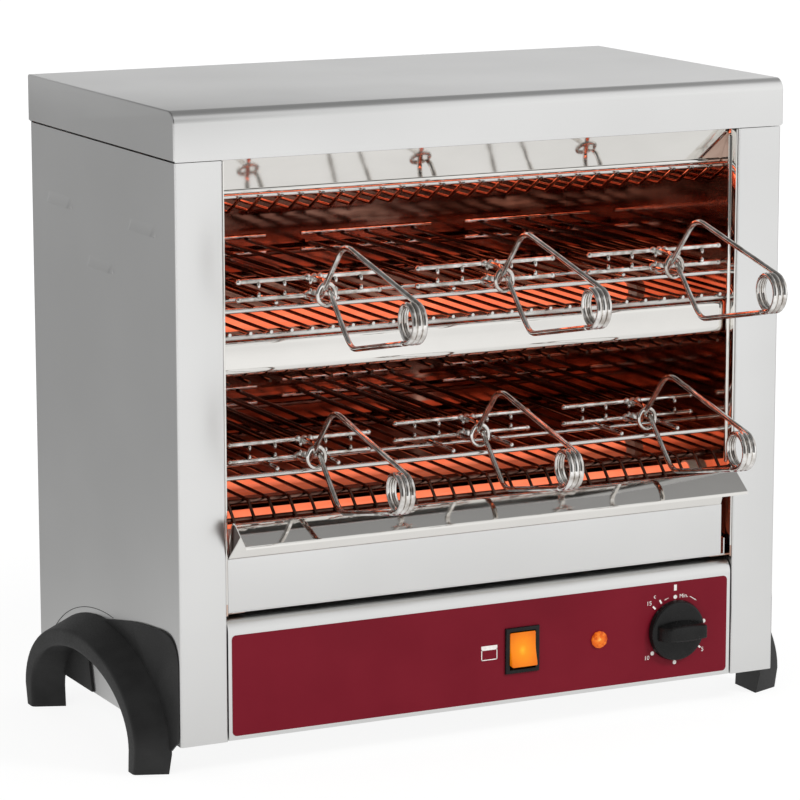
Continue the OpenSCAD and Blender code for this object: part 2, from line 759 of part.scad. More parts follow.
module top_baffle() color(polished) placed() along_x(-liner_in + seat_gap, liner_in - seat_gap) {
    z1 = body_h - baffle_top;
    z0 = z1 - baffle_h;
    polygon([[baffle_y, z1], [baffle_y + baffle_slope, z0],
        [baffle_y + baffle_slope + sheet, z0], [baffle_y + sheet, z1]]);
    translate([baffle_y, z1 - sheet]) square([2 * flange_w, sheet]);
    translate([baffle_y + baffle_slope + sheet / 2, z0]) circle(d = bead_d);
}

module fascia_outline(inset) {
    y0 = fascia_y + inset;
    z0 = fascia_low + inset;
    r = fascia_r - inset;
    reach = fascia_back + (inset > 0 ? over : 0);
    top = fascia_top + (inset > 0 ? over : 0);
    translate([y0, z0 + r]) square([reach, top - z0 - r]);
    translate([y0 + r, z0]) square([reach - r, top - z0]);
    translate([y0 + r, z0 + r]) circle(r = r);
}

module mid_fascia() color(polished) placed() {
    difference() {
        along_x(-fascia_x, fascia_x) fascia_outline(0);
        along_x(sheet - fascia_x, fascia_x - sheet) fascia_outline(sheet);
    }
    both_sides() block([fascia_x - join, fascia_y + fascia_back - 2 * sheet, fascia_low + fascia_r],
        [wall_end, fascia_y + fascia_back - sheet, fascia_top - fascia_r]);
}

// A guard of bent wires on cross rails, from points in y and z
module guard(path, rails) {
    for (k = [0 : guard_half_n - 1]) for (s = [-1, 1])
        bent_rod([for (p = path) [s * (k + 0.5) * guard_pitch, p[0], p[1]]], guard_bend, guard_d);
    for (r = rails) pin_x(r[0], r[1], cross_d, -wall_end, wall_end);
}

// The seat of a rail beside a sloping wire that starts at p and runs to q
function beside(p, q, along, side) =
    let (u = unit(q - p)) p + u * along + [-u[1], u[0]] * side * cross_off;

module top_guard() color(wire) placed() {
    front = [top_front, top_guard_z + top_rise];
    fold = [top_fold_y, top_guard_z];
    guard([front, fold, [wire_back, top_guard_z]],
        [beside(front, fold, pip + cross_d / 2, 1), [rear_rail_y, top_guard_z + cross_off]]);
}

module mid_floor_guard() color(wire) placed() {
    z = floor_z - cross_off;
    front = fascia_y + pip + sheet;
    guard([[fascia_y - sheet, floor_z], [wire_back, floor_z]], [[front, z], [rear_rail_y, z]]);
}

module mid_roof_guard() color(wire) placed() {
    z = roof_z + cross_off;
    front = fascia_y + fascia_back + cross_d;
    guard([[fascia_y + sheet, roof_z], [wire_back, roof_z]], [[front, z], [rear_rail_y, z]]);
}

module lower_guard() color(wire) placed() {
    tip = [lower_fold - lower_drop, lower_guard_z - lower_drop];
    fold = [lower_fold, lower_guard_z];
    z = lower_guard_z - cross_off;
    guard([tip, fold, [wire_back, lower_guard_z]],
        [beside(tip, fold, pip + cross_d / 2, -1), [lower_fold + 2 * cross_d, z], [rear_rail_y, z]]);
}

module rack(z) {
    for (y = [rail_front, rail_front + rail_second, rear_rail_y]) pin_x(y, z, rail_d, -wall_end, wall_end);
    for (k = [-1 : 1]) for (s = [-1, 1])
        pin_y(k * tong_pitch + s * guide_half, z + guide_lift, guide_d, rail_front - pip, wire_back);
}

module upper_rack() color(wire) placed() rack(upper_rack_z);

module lower_rack() color(wire) placed() rack(lower_rack_z);

// The heaters
module quartz_tubes() color(quartz) placed() for (y = tube_ys) for (z = tube_zs) difference() {
    pin_x(y, z, tube_d, -tube_half, tube_half);
    pin_x(y, z, bore_d, -tube_half - over, tube_half + over);
}

module filaments() color(amber) placed() for (y = tube_ys) for (z = tube_zs) {
    pin_x(y, z, element_d, -tube_half, tube_half);
    for (k = [-2 : 2]) {
        x = k * (tube_half - cap_seat) / 2;
        pin_x(y, z, bore_d - 2 * seat_gap, x - disc_t / 2, x + disc_t / 2);
    }
}

module tube_end_caps() color(ceramic) placed() both_sides() for (y = tube_ys) for (z = tube_zs) difference() {
    pin_x(y, z, cap_d, cap_x, cap_x + cap_l);
    pin_x(y, z, tube_d + 2 * seat_gap, cap_x - over, cap_x + cap_seat);
}

// The crumb tray
hump_fall = 135;
flare_c = [hump_y, hump_z] + hump_r * [cos(hump_fall), sin(hump_fall)]
    + lip_fall * [-sin(hump_fall), cos(hump_fall)] + flare_r * [cos(hump_fall), sin(hump_fall)];
lip_step = 15;
lip_path = concat(
    [[tray_face, tray_z], [tray_face, crease_z]],
    [for (a = [0 : lip_step : hump_fall]) [hump_y, hump_z] + hump_r * [cos(a), sin(a)]],
    [for (a = [hump_fall - 180 : -lip_step : -90]) flare_c + flare_r * [cos(a), sin(a)]],
    [flare_c + [-lip_edge, -flare_r]]
);
function side_of(p, i) = let (t = tangent(p, i)) [-t[1], t[0]];
function strip(p, t) = concat(
    [for (i = [0 : len(p) - 1]) p[i] + side_of(p, i) * t / 2],
    [for (i = [len(p) - 1 : -1 : 0]) p[i] - side_of(p, i) * t / 2]
);

module crumb_tray() color(satin) placed() {
    y0 = tray_face - tray_t / 2;
    y1 = back_y - tray_back;
    along_x(-tray_x, tray_x) polygon(strip(lip_path, tray_t));
    block([-tray_x, y0, tray_z], [tray_x, y1, tray_z + tray_t]);
    both_sides() block([tray_x - tray_t, y0, tray_z], [tray_x, y1, tray_z + tray_wall]);
    block([-tray_x, y1 - tray_t, tray_z], [tray_x, y1, tray_z + tray_wall]);
}

// The controls
module panel_outline(inset) {
    y0 = panel_y + inset;
    z1 = panel_h - inset;
    r = panel_r - inset;
    low = seat_gap - (inset > 0 ? over : 0);
    reach = panel_back + (inset > 0 ? over : 0);
    translate([y0, low]) square([reach, z1 - r - low]);
    translate([y0 + r, low]) square([reach - r, z1 - low]);
    translate([y0 + r, z1 - r]) circle(r = r);
}

module control_holes(y0, y1, gap) {
    block([switch_x - body_sw / 2 - gap, y0, control_z - body_sh / 2 - gap],
        [switch_x + body_sw / 2 + gap, y1, control_z + body_sh / 2 + gap]);
    pin_y(lamp_x, control_z, lamp_body_d + 2 * gap, y0, y1);
    pin_y(timer_x, control_z, shaft_d + 2 * run_gap + 2 * gap, y0, y1);
}

module control_panel() color(satin) placed() {
    difference() {
        along_x(-panel_x, panel_x) panel_outline(0);
        along_x(sheet - panel_x, panel_x - sheet) panel_outline(sheet);
        both_sides() block([panel_x - sheet - join, pillar_return, -over],
            [panel_x + over, panel_y + panel_back + over, panel_h - panel_r]);
        control_holes(panel_y - over, panel_y + sheet + over, seat_gap);
    }
}

module panel_label() color(burgundy) placed() difference() {
    x1 = panel_x - label_side - label_r;
    z0 = label_z + label_r;
    z1 = label_z + label_h - label_r;
    along_y(label_y, panel_y - weld_gap) union() {
        translate([-x1 - label_r, z0]) square([2 * (x1 + label_r), z1 - z0]);
        translate([-x1, z0 - label_r]) square([2 * x1, z1 - z0 + 2 * label_r]);
        for (x = [-x1, x1]) for (z = [z0, z1]) translate([x, z]) circle(r = label_r);
    }
    control_holes(label_y - over, panel_y + over, seat_gap);
}

module switch_body() color(black) placed() difference() {
    union() {
        block([switch_x - bezel_w / 2, bezel_y - bezel_out, control_z - bezel_h / 2],
            [switch_x + bezel_w / 2, bezel_y, control_z + bezel_h / 2]);
        block([switch_x - body_sw / 2, bezel_y - join, control_z - body_sh / 2],
            [switch_x + body_sw / 2, switch_back, control_z + body_sh / 2]);
    }
    block([switch_x - switch_w / 2, bezel_y - bezel_out - over, control_z - switch_h / 2],
        [switch_x + switch_w / 2, pivot_y + rocker_half, control_z + switch_h / 2]);
    pin_x(pivot_y, control_z, pivot_d + 2 * run_gap, switch_x - body_sw, switch_x + body_sw);
}

module switch_rocker() color(amber) placed() {
    x1 = switch_w / 2 - run_gap;
    translate([switch_x, pivot_y, control_z]) rotate([-rocker_tilt, 0, 0]) {
        along_x(-x1, x1) polygon([[-rocker_front, rocker_half], [-rocker_mid, 0],
            [-rocker_front, -rocker_half], [rocker_back, -rocker_root], [rocker_back, rocker_root]]);
        pin_x(0, 0, pivot_d, -x1 - run_gap - switch_wall, x1 + run_gap + switch_wall);
    }
}

lens_rim = lamp_out / 2;
lens_r = (lamp_d * lamp_d / 4 + lens_rim * lens_rim) / (2 * lens_rim);

module pilot_lamp() color(amber) placed() {
    pin_y(lamp_x, control_z, lamp_d, bezel_y - lens_rim, bezel_y);
    pin_y(lamp_x, control_z, lamp_body_d, bezel_y - join, bezel_y + lamp_deep);
    intersection() {
        translate([lamp_x, bezel_y - lamp_out + lens_r, control_z]) sphere(r = lens_r);
        pin_y(lamp_x, control_z, lamp_d, bezel_y - lamp_out - over, bezel_y - lens_rim + join);
    }
}

module timer_body() color(black) placed() difference() {
    block([timer_x - timer_w / 2, timer_y, control_z - timer_w / 2],
        [timer_x + timer_w / 2, timer_y + timer_deep, control_z + timer_w / 2]);
    pin_y(timer_x, control_z, shaft_d + 2 * run_gap, timer_y - over, timer_y + timer_deep + over);
}

module timer_shaft() color(brass) placed()
    pin_y(timer_x, control_z, shaft_d, knob_y - knob_seat + weld_gap, timer_y + timer_deep);

module timer_knob() color(black) placed() difference() {
    union() {
        pin_y(timer_x, control_z, knob_d, knob_y - knob_skirt, knob_y);
        intersection() {
            pin_y(timer_x, control_z, knob_d - 2 * join, knob_y - knob_skirt - grip_h, knob_y - join);
            block([timer_x - knob_d, knob_y - knob_skirt - grip_h, control_z - grip_w / 2],
                [timer_x + knob_d, knob_y, control_z + grip_w / 2]);
        }
    }
    pin_y(timer_x, control_z, shaft_d + 2 * weld_gap, knob_y - knob_seat, knob_y + over);
}

// The rear connections
module terminal_block() color(ceramic) placed() difference() {
    y0 = back_y - block_w;
    z0 = base_z + sheet + weld_gap;
    block([gland_x - block_l, y0, z0], [gland_x, y0 + block_w, z0 + block_h]);
    for (k = [1, 3, 5]) translate([gland_x - block_l * k / 6, y0 + block_w / 2, z0 + block_h / 2])
        cylinder(d = well_d, h = block_h);
}

module cable_gland() color(black) placed() difference() {
    union() {
        pin_y(gland_x, gland_z, gland_d, body_d - sheet - gland_nut - gland_flange, gland_y + gland_out);
        pin_y(gland_x, gland_z, gland_d + 2 * gland_flange, gland_y, gland_y + gland_flange);
        pin_y(gland_x, gland_z, gland_d + gland_flange, gland_y + join,
            gland_y + gland_out - gland_flange, $fn = 6);
        pin_y(gland_x, gland_z, gland_d + 2 * gland_flange, body_d - sheet - weld_gap - gland_nut,
            body_d - sheet - weld_gap, $fn = 6);
    }
    pin_y(gland_x, gland_z, gland_bore, body_d - gland_out - gland_nut, gland_y + gland_out + over);
}

// A pan-head screw that points along -y, with its head's underside at the origin
module screw() {
    pin_y(0, 0, screw_head, 0, screw_head_h);
    pin_y(0, 0, screw_d, -screw_l, join);
}

module rear_screws() color(satin) placed() {
    both_sides() for (z = rear_screw_zs) translate([rear_screw_x, body_d + weld_gap, z]) screw();
    for (x = lid_screw_xs) translate([x, body_d + run_gap + sheet + weld_gap, lid_screw_z]) screw();
}

module foot_screws() color(satin) placed() both_sides() for (s = [-1, 1])
    translate([half_w - sheet - weld_gap, mid_y + s * foot_screw_y, foot_screw_z]) rotate([0, 0, 90]) screw();

// The feet: an arch that narrows outward from the panel to a rim
foot_x0 = half_w + weld_gap;
foot_x1 = half_w + foot_out;
spring_z = arch_spring - foot_h;
arch_step = 7.5;
function arch(inset, sole, rise) = concat(
    [[mid_y - (mid_y - inset - sole), -foot_h - over]],
    [for (a = [0 : arch_step : 180]) [mid_y - (mid_y - inset) * cos(a), spring_z + rise * sin(a)]],
    [[mid_y + (mid_y - inset - sole), -foot_h - over]]
);
arch_in = arch(arch_front, sole_taper, arch_rise);
rim_in = arch(rim_front, rim_taper, rim_rise);
rim_out = arch(rim_front + rim_w, under_taper, under_rise);
arch_out = arch(arch_front + leg_w, under_taper, under_rise);
wing_inside = 0.9;
wing_path = concat(
    [[mid_y, spring_z + arch_rise * wing_inside], [mid_y, spring_z + arch_rise], [wing_level, wing_z]],
    [for (a = [90 : 2 * arch_step : 180]) [wing_front + wing_r, wing_z - wing_r] + wing_r * [cos(a), sin(a)]],
    [[wing_front, wing_low], [arch_front, spring_z]],
    [for (a = [0 : 2 * arch_step : 75])
        [mid_y - (mid_y - arch_front) * cos(a) * wing_inside, spring_z + arch_rise * sin(a) * wing_inside]]
);

module foot() difference() {
    union() {
        skin([for (k = [0 : len(arch_in) - 1]) [
            [foot_x0, arch_in[k][0], arch_in[k][1]],
            [foot_x1, rim_in[k][0], rim_in[k][1]],
            [foot_x1, rim_out[k][0], rim_out[k][1]],
            [foot_x0, arch_out[k][0], arch_out[k][1]]
        ]]);
        along_x(foot_x0, foot_x0 + wing_t) polygon(wing_path);
    }
    block([foot_x0 - over, -over, -foot_h - 2 * over], [foot_x1 + over, body_d + over, -foot_h]);
    for (s = [-1, 1]) pin_x(mid_y + s * foot_screw_y, foot_screw_z, hole_d, foot_x0 - over, half_w + screw_l);
    block([foot_x0 - over, mid_y - foot_screw_y / 2, foot_screw_z - foot_pocket / 2],
        [foot_x0 + foot_pocket, mid_y + foot_screw_y / 2, foot_screw_z + foot_pocket / 2]);
}

module left_foot() color(black) placed() mirror([1, 0, 0]) foot();

module right_foot() color(black) placed() foot();

// The tongs, each drawn about the middle of its closed jaws' front bars
module at_tong(i) {
    z = jaw_lift + (i < 3 ? upper_rack_z : lower_rack_z);
    placed() translate([(i % 3 - 1) * tong_pitch, jaw_front + push_in[i], z]) children();
}

module jaw(side) {
    for (y = [0, jaw_l]) pin_x(y, side * jaw_sep / 2, bar_d, -jaw_w / 2, jaw_w / 2);
    for (k = [0 : jaw_wires - 1])
        pin_y((k - (jaw_wires - 1) / 2) * jaw_pitch, side * (jaw_sep / 2 - wire_off), jaw_wire_d,
            -pip, jaw_l + pip);
}

module tong_top_jaw(i) color(wire) at_tong(i) jaw(1);

module tong_bottom_jaw(i) color(wire) at_tong(i) jaw(-1);

wire_sides = 6;

module tong_spring_arm(i) color(wire) at_tong(i) skin(tube_rings(spring_path, handle_d / 2, wire_sides));

module tong_lower_arm(i) color(wire) at_tong(i) {
    root = coil_start - lead * (lead_l + run_gap);
    bent_rod([root, corner_p, high_knuckle, high_end], handle_bend, handle_d);
    translate(at(ring_x, ring_reach, ring_h)) rotate([90, 0, 0])
        rotate_extrude() translate([ring_r, 0]) circle(d = ring_d);
}

top_cover();
left_side_panel();
right_side_panel();
rear_panel();
base_plate();
left_liner();
right_liner();
rear_reflector();
top_reflector();
top_baffle();
mid_fascia();
top_guard();
mid_floor_guard();
mid_roof_guard();
lower_guard();
upper_rack();
lower_rack();
quartz_tubes();
filaments();
tube_end_caps();
crumb_tray();
control_panel();
panel_label();
switch_body();
switch_rocker();
pilot_lamp();
timer_body();
timer_shaft();
timer_knob();
terminal_block();
cable_gland();
left_foot();
right_foot();
rear_screws();
foot_screws();
for (i = [0 : len(TONGS) - 1]) {
    tong_top_jaw(i);
    tong_bottom_jaw(i);
    tong_spring_arm(i);
    tong_lower_arm(i);
}
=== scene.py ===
import json
from math import cos, pi, radians, sin, tan

import bmesh
import bpy
from mathutils import Matrix, Vector


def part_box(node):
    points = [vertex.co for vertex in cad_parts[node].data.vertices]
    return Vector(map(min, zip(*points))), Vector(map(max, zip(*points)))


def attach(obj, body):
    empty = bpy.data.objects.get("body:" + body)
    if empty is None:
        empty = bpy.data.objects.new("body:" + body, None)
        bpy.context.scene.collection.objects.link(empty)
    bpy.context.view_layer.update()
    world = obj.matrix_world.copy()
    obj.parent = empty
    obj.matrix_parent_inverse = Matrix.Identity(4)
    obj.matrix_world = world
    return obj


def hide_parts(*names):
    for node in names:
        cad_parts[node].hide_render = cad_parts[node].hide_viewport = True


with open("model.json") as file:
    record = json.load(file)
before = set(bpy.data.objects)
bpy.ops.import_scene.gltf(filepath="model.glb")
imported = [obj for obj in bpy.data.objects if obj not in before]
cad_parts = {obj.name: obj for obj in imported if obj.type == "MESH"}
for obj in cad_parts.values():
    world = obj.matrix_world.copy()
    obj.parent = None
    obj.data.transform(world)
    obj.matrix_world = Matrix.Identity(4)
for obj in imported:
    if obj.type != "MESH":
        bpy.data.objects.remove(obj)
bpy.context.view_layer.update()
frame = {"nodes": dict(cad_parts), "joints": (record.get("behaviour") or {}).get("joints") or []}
nodes = frame["nodes"]
mm = 0.001
print("frame loaded:", len(nodes), "nodes")

# the cabinet's own zero: across from the middle, back from the pillars, up from the underside
panelLow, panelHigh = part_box("left_side_panel")
frontY, baseZ = panelLow.y, panelLow.z


def at(x, y, z):
    return Vector((x * mm, frontY + y * mm, baseZ + z * mm))


def lin(hexText):  # sRGB hex to the linear values that the sockets take
    parts = [int(hexText[i:i + 2], 16) / 255 for i in (1, 3, 5)]
    parts = [p / 12.92 if p <= 0.04045 else ((p + 0.055) / 1.055) ** 2.4 for p in parts]
    return (*parts, 1.0)


# a socket takes a constant or another node's output, and other names are the node's own settings
def feed(tree, node, settings):
    for name, value in settings.items():
        if isinstance(value, bpy.types.NodeSocket):
            tree.links.new(value, node.inputs[name])
        elif isinstance(name, int) or name in node.inputs:
            node.inputs[name].default_value = value
        else:
            setattr(node, name, value)
    return node


def addNode(tree, kind, settings=None):
    return feed(tree, tree.nodes.new(kind), settings or {})


def calc(tree, operation, *values):
    settings = {"operation": operation, **dict(enumerate(values))}
    return addNode(tree, "ShaderNodeMath", settings).outputs["Value"]


def rescale(tree, source, low, high, toLow=0.0, toHigh=1.0, curve="LINEAR"):
    node = addNode(tree, "ShaderNodeMapRange", {
        "interpolation_type": curve, "Value": source, "From Min": low, "From Max": high,
        "To Min": toLow, "To Max": toHigh})
    return node.outputs["Result"]


def blend(tree, share, first, second):
    settings = {"data_type": "FLOAT", 0: share, 2: first, 3: second}
    return addNode(tree, "ShaderNodeMix", settings).outputs[0]


def objectPlace(tree):
    return addNode(tree, "ShaderNodeTexCoord").outputs["Object"]


def splitAxes(tree, vector):
    return addNode(tree, "ShaderNodeSeparateXYZ", {"Vector": vector}).outputs


# noise of the given size in mm, one for all or one each along x, y and z
def patches(tree, size, detail=3.0):
    sizes = size if isinstance(size, tuple) else (size, size, size)
    spread = addNode(tree, "ShaderNodeMapping", {
        "Scale": [1 / (s * mm) for s in sizes], "Vector": objectPlace(tree)})
    noise = addNode(tree, "ShaderNodeTexNoise", {
        "Scale": 1.0, "Detail": detail, "Vector": spread.outputs["Vector"]})
    return noise.outputs["Fac"]


def colourRamp(tree, source, stops):
    ramp = addNode(tree, "ShaderNodeValToRGB", {"Fac": source})
    elements = ramp.color_ramp.elements
    for index, (place, colour) in enumerate(stops):
        stop = elements[index] if index < 2 else elements.new(place)
        stop.position = place
        stop.color = colour
    return ramp.outputs["Color"]


def twoTones(tree, source, tones):
    return colourRamp(tree, source, zip((0.35, 0.65), map(lin, tones)))


def newMaterial(name, settings):
    material = bpy.data.materials.new(name)
    material.use_nodes = True
    tree = material.node_tree
    return material, tree, feed(tree, tree.nodes["Principled BSDF"], settings)


def relief(tree, height, depth):
    settings = {"Distance": depth * mm, "Height": height}
    return addNode(tree, "ShaderNodeBump", settings).outputs["Normal"]


# grain on the roughness and as a shallow relief, its size and depth in mm
def surfaceGrain(tree, shader, size, rough, depth, detail=2.0):
    grain = patches(tree, size, detail)
    feed(tree, shader, {"Roughness": rescale(tree, grain, 0.3, 0.7, *rough),
        "Normal": relief(tree, grain, depth)})


# most finishes: one grain, and two tones of the colour in patches of a size in mm
def grained(name, settings, grain, patch, tones):
    material, tree, shader = newMaterial(name, settings)
    surfaceGrain(tree, shader, *grain)
    feed(tree, shader, {"Base Color": twoTones(tree, patches(tree, patch), tones)})
    return material


# a finish that gives off light in two tones
def glowing(name, settings, patch, tones):
    material, tree, shader = newMaterial(name, settings)
    feed(tree, shader, {"Emission Color": twoTones(tree, patches(tree, patch), tones)})
    return material, tree, shader


def objectMode():
    if bpy.context.mode != "OBJECT":
        bpy.ops.object.mode_set(mode="OBJECT")


def deselect():
    objectMode()
    bpy.ops.object.select_all(action="DESELECT")


def makeActive(piece):
    deselect()
    piece.select_set(True)
    bpy.context.view_layer.objects.active = piece


def named(name):  # the object that the last operator made
    piece = bpy.context.object
    piece.name = name
    return piece


def remove(piece):
    makeActive(piece)
    bpy.ops.object.delete()


def editMode(piece):
    makeActive(piece)
    bpy.ops.object.mode_set(mode="EDIT")


# picks faces, edges or corners of the piece in edit mode, by their place or normal
def pick(piece, kind, test):
    bpy.ops.mesh.select_mode(type=kind)
    bpy.ops.mesh.select_all(action="DESELECT")
    mesh = bmesh.from_edit_mesh(piece.data)
    mesh.normal_update()
    for item in getattr(mesh, kind.lower() + "s"):
        if test(item):
            item.select_set(True)
    mesh.select_flush_mode()
    bmesh.update_edit_mesh(piece.data)


def pickAll():
    bpy.ops.mesh.select_all(action="SELECT")


def faceOut():
    pickAll()
    bpy.ops.mesh.normals_make_consistent()
    objectMode()


def onPlane(axis, value, near=0.02):  # true for an edge or face that lies there, to some mm
    return lambda item: all(abs(v.co[axis] - value) < near * mm for v in item.verts)


def pickEdges(piece, **planes):  # the edges that lie on all the planes given
    tests = [onPlane("xyz".index(axis), value) for axis, value in planes.items()]
    pick(piece, "EDGE", lambda edge: all(test(edge) for test in tests))


def roundEdges(width, segments):
    bpy.ops.mesh.bevel(offset=width * mm, segments=segments)


def pullOut(x, y, z):
    bpy.ops.mesh.extrude_region_move(TRANSFORM_OT_translate={"value": (x * mm, y * mm, z * mm)})


def modify(piece, kind, **settings):
    makeActive(piece)
    modifier = piece.modifiers.new(kind.lower(), kind)
    for key, value in settings.items():
        setattr(modifier, key, value)
    bpy.ops.object.modifier_apply(modifier=modifier.name)


def softenCorners(piece, width):  # only the sharp ones
    modify(piece, "BEVEL", width=width * mm, segments=2, limit_method="ANGLE",
        angle_limit=radians(50))


def applyMoves():
    bpy.ops.object.transform_apply()


def addBox(name, low, high):
    deselect()
    low, high = Vector(low), Vector(high)
    bpy.ops.mesh.primitive_cube_add(size=1, location=(low + high) / 2)
    piece = named(name)
    piece.scale = high - low
    applyMoves()
    return piece


def bevelBox(name, low, high, width, segments=1):
    piece = addBox(name, low, high)
    editMode(piece)
    pickAll()
    roundEdges(width, segments)
    objectMode()
    return piece


def frontBox(x, z, size, near, far):  # two corners of a box round a place on the front
    wide, tall = size
    return at(x - wide / 2, near, z - tall / 2), at(x + wide / 2, far, z + tall / 2)


# a closed skin: a disc is extruded again and again, and set on the next ring of points
def sweep(name, rings):
    deselect()
    bpy.ops.mesh.primitive_circle_add(vertices=len(rings[0]), fill_type="NGON")
    piece = named(name)
    bpy.ops.object.mode_set(mode="EDIT")
    bpy.ops.mesh.select_mode(type="FACE")
    pickAll()
    for index, ring in enumerate(rings):
        if index:
            bpy.ops.mesh.extrude_region_move()
        mesh = bmesh.from_edit_mesh(piece.data)
        face = next(f for f in mesh.faces if f.select)
        for corner, point in zip(face.verts, ring):
            corner.co = point
        bmesh.update_edit_mesh(piece.data)
    faceOut()
    return piece


def arc(centre, radius, start, end, steps):  # points of a flat bend, angles in degrees
    turns = [radians(start + (end - start) * i / steps) for i in range(steps + 1)]
    return [(centre[0] + radius * cos(t), centre[1] + radius * sin(t)) for t in turns]


def discRing(centre, radius, y, count, turn=0.0):  # a circle that faces the front
    start = 360 * turn / count
    return [at(x, y, z) for x, z in arc(centre, radius, start, start + 360, count)[:-1]]


def thickLine(path, thick):  # the outline of a folded sheet whose middle follows the path
    sides = []
    for i in range(len(path)):
        before, after = path[max(i - 1, 0)], path[min(i + 1, len(path) - 1)]
        along = Vector((after[0] - before[0], after[1] - before[1])).normalized()
        sides.append(Vector((-along.y, along.x)) * thick / 2)
    first = [(p[0] + s.x, p[1] + s.y) for p, s in zip(path, sides)]
    second = [(p[0] - s.x, p[1] - s.y) for p, s in zip(path, sides)]
    return first + second[::-1]


def drawAcross(name, outline, x0, x1):  # a profile in y and z, drawn out from x0 to x1
    return sweep(name, [[at(x, y, z) for y, z in outline] for x in (x0, x1)])


def roundCorners(points, radii, steps):  # each corner turned into a small curve
    done = []
    for i, corner in enumerate(points):
        before, after = points[i - 1], points[(i + 1) % len(points)]
        start = corner + (before - corner).normalized() * radii[i]
        end = corner + (after - corner).normalized() * radii[i]
        for k in range(steps + 1):
            t = k / steps
            done.append(start * (1 - t) ** 2 + corner * 2 * t * (1 - t) + end * t * t)
    return done


# a flat outline from rows of two places and a corner radius
def roundOutline(rows, steps):
    return roundCorners([Vector(row[:2]) for row in rows], [row[2] for row in rows], steps)


def bentPath(points, radius, steps=6):  # a wire's middle line with round bends between its ends
    path = [points[0]]
    for before, corner, after in zip(points, points[1:], points[2:]):
        u, w = (corner - before).normalized(), (after - corner).normalized()
        turn = u.angle(w)
        reach = radius * tan(turn / 2)
        centre = corner + (w - u).normalized() * radius / cos(turn / 2)
        out = (corner - u * reach - centre).normalized()
        for k in range(steps + 1):
            a = turn * k / steps
            path.append(centre + radius * (out * cos(a) + u * sin(a)))
    return path + [points[-1]]


# the rounded cut ends of a wire: shift along it and width, as shares of its radius
wireStart = [(0.0, 0.35), (0.14, 0.7), (0.4, 0.9), (0.8, 1.0)]
wireEnd = [(-shift, scale) for shift, scale in wireStart[::-1]]


def makeWire(name, path, diameter, sides=14):
    radius, last = diameter / 2 * mm, len(path) - 1
    aim = [(path[min(i + 1, last)] - path[max(i - 1, 0)]).normalized() for i in range(last + 1)]
    square = aim[0].orthogonal().normalized()
    turns = [2 * pi * k / sides for k in range(sides)]
    rings = []
    for i, point in enumerate(path):
        square = (square - aim[i] * square.dot(aim[i])).normalized()
        across = aim[i].cross(square)
        for shift, scale in {0: wireStart, last: wireEnd}.get(i, [(0.0, 1.0)]):
            middle = point + aim[i] * radius * shift
            rings.append([middle + radius * scale * (square * cos(t) + across * sin(t))
                for t in turns])
    return sweep(name, rings)


def copyPiece(piece, name, shift=(0, 0, 0)):
    makeActive(piece)
    bpy.ops.object.duplicate()
    twin = named(name)
    twin.location = shift
    applyMoves()
    return twin


def mirrorCopy(piece, name):
    twin = copyPiece(piece, name)
    twin.scale = (-1, 1, 1)
    applyMoves()
    editMode(twin)
    faceOut()
    return twin


def joinPieces(name, pieces):
    deselect()
    for piece in pieces:
        piece.select_set(True)
    bpy.context.view_layer.objects.active = pieces[0]
    bpy.ops.object.join()
    return named(name)


def combine(piece, other, operation):
    modify(piece, "BOOLEAN", operation=operation, object=other, solver="EXACT")
    remove(other)


def dress(piece, *finishes):
    piece.data.materials.clear()
    for finish in finishes:
        piece.data.materials.append(finish)


# several finishes on one piece: choose gives the number of a face's finish from its centre
def setFinishes(piece, finishes, choose):
    dress(piece, *finishes)
    for face in piece.data.polygons:
        face.material_index = int(choose(face.center))


def finishPiece(piece, material, replaced=(), body="cabinet", angle=35):
    makeActive(piece)
    applyMoves()
    bpy.ops.object.shade_smooth_by_angle(angle=radians(angle))
    if material:
        dress(piece, material)
    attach(piece, body)
    if replaced:
        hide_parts(*replaced)


metal = {"Metallic": 1.0}

# satin stainless sheet: a fine drawn grain, coarser than its real 0.1 mm, soft wide reflections
steel = grained("satinStainless", metal, ((70, 70, 1.2), (0.275, 0.295), 0.0001), (160, 160, 120),
    ("#E3E3E2", "#E8E8E7"))
# bright-annealed stainless: mirror-like, with the slow waves of thin sheet
bright = grained("brightStainless", metal, ((110, 40, 40), (0.03, 0.08), 0.1, 1.0), (70, 30, 30),
    ("#E6E4E0", "#ECEAE6"))
# polished stainless that the heat has tinted: a coppery mirror with slow vertical waves
tinted = grained("heatTintedSteel", metal, ((60, 24, 90), (0.05, 0.11), 0.1), (60, 26, 80),
    ("#B08E80", "#DCC2B4"))
# the sheets nearest the tubes, burnt brown; the lighter streaks drawn across its colour are painted
# reflections of the wires
burntWithPaintedStreaks = grained("burntSteel", metal, ((120, 14, 9), (0.06, 0.16), 0.08), (90, 20, 12),
    ("#6E483C", "#B08270"))
# chromed wire: a tight bright highlight, dark lines where it turns away
chrome = grained("chromedWire", metal, (6, (0.03, 0.07), 0.01), 7, ("#B4ADA6", "#F0EEEB"))
# plated weld metal: lumpy, half dull, it stays bright beside the mirror of the wire
welded = grained("platedWeld", metal, (2.2, (0.22, 0.4), 0.25), 3, ("#C4C0BA", "#F0EEEA"))
# zinc-plated screws: bluish grey, a little blotchy
zinc = grained("zincPlate", metal, (1.5, (0.25, 0.4), 0.01), 3, ("#AEB2B8", "#C6C7C6"))
# turned brass of the timer's shaft: fine rings, a warm sheen
brass = grained("turnedBrass", metal, ((4, 0.5, 4), (0.2, 0.32), 0.01), 5, ("#BE9A50", "#D0AE66"))
# glazed porcelain, slightly yellowed, under a clear gloss
porcelain = grained("glazedPorcelain", {"Coat Weight": 0.5}, (5, (0.22, 0.34), 0.02), 9,
    ("#DDD0BC", "#ECE4D6"))
# screen-printed polyester film: an even dark red with a faint sheen
film = grained("printedFilm", {"Specular IOR Level": 0.15}, (0.9, (0.42, 0.52), 0.006), 60,
    ("#741022", "#7A1526"))
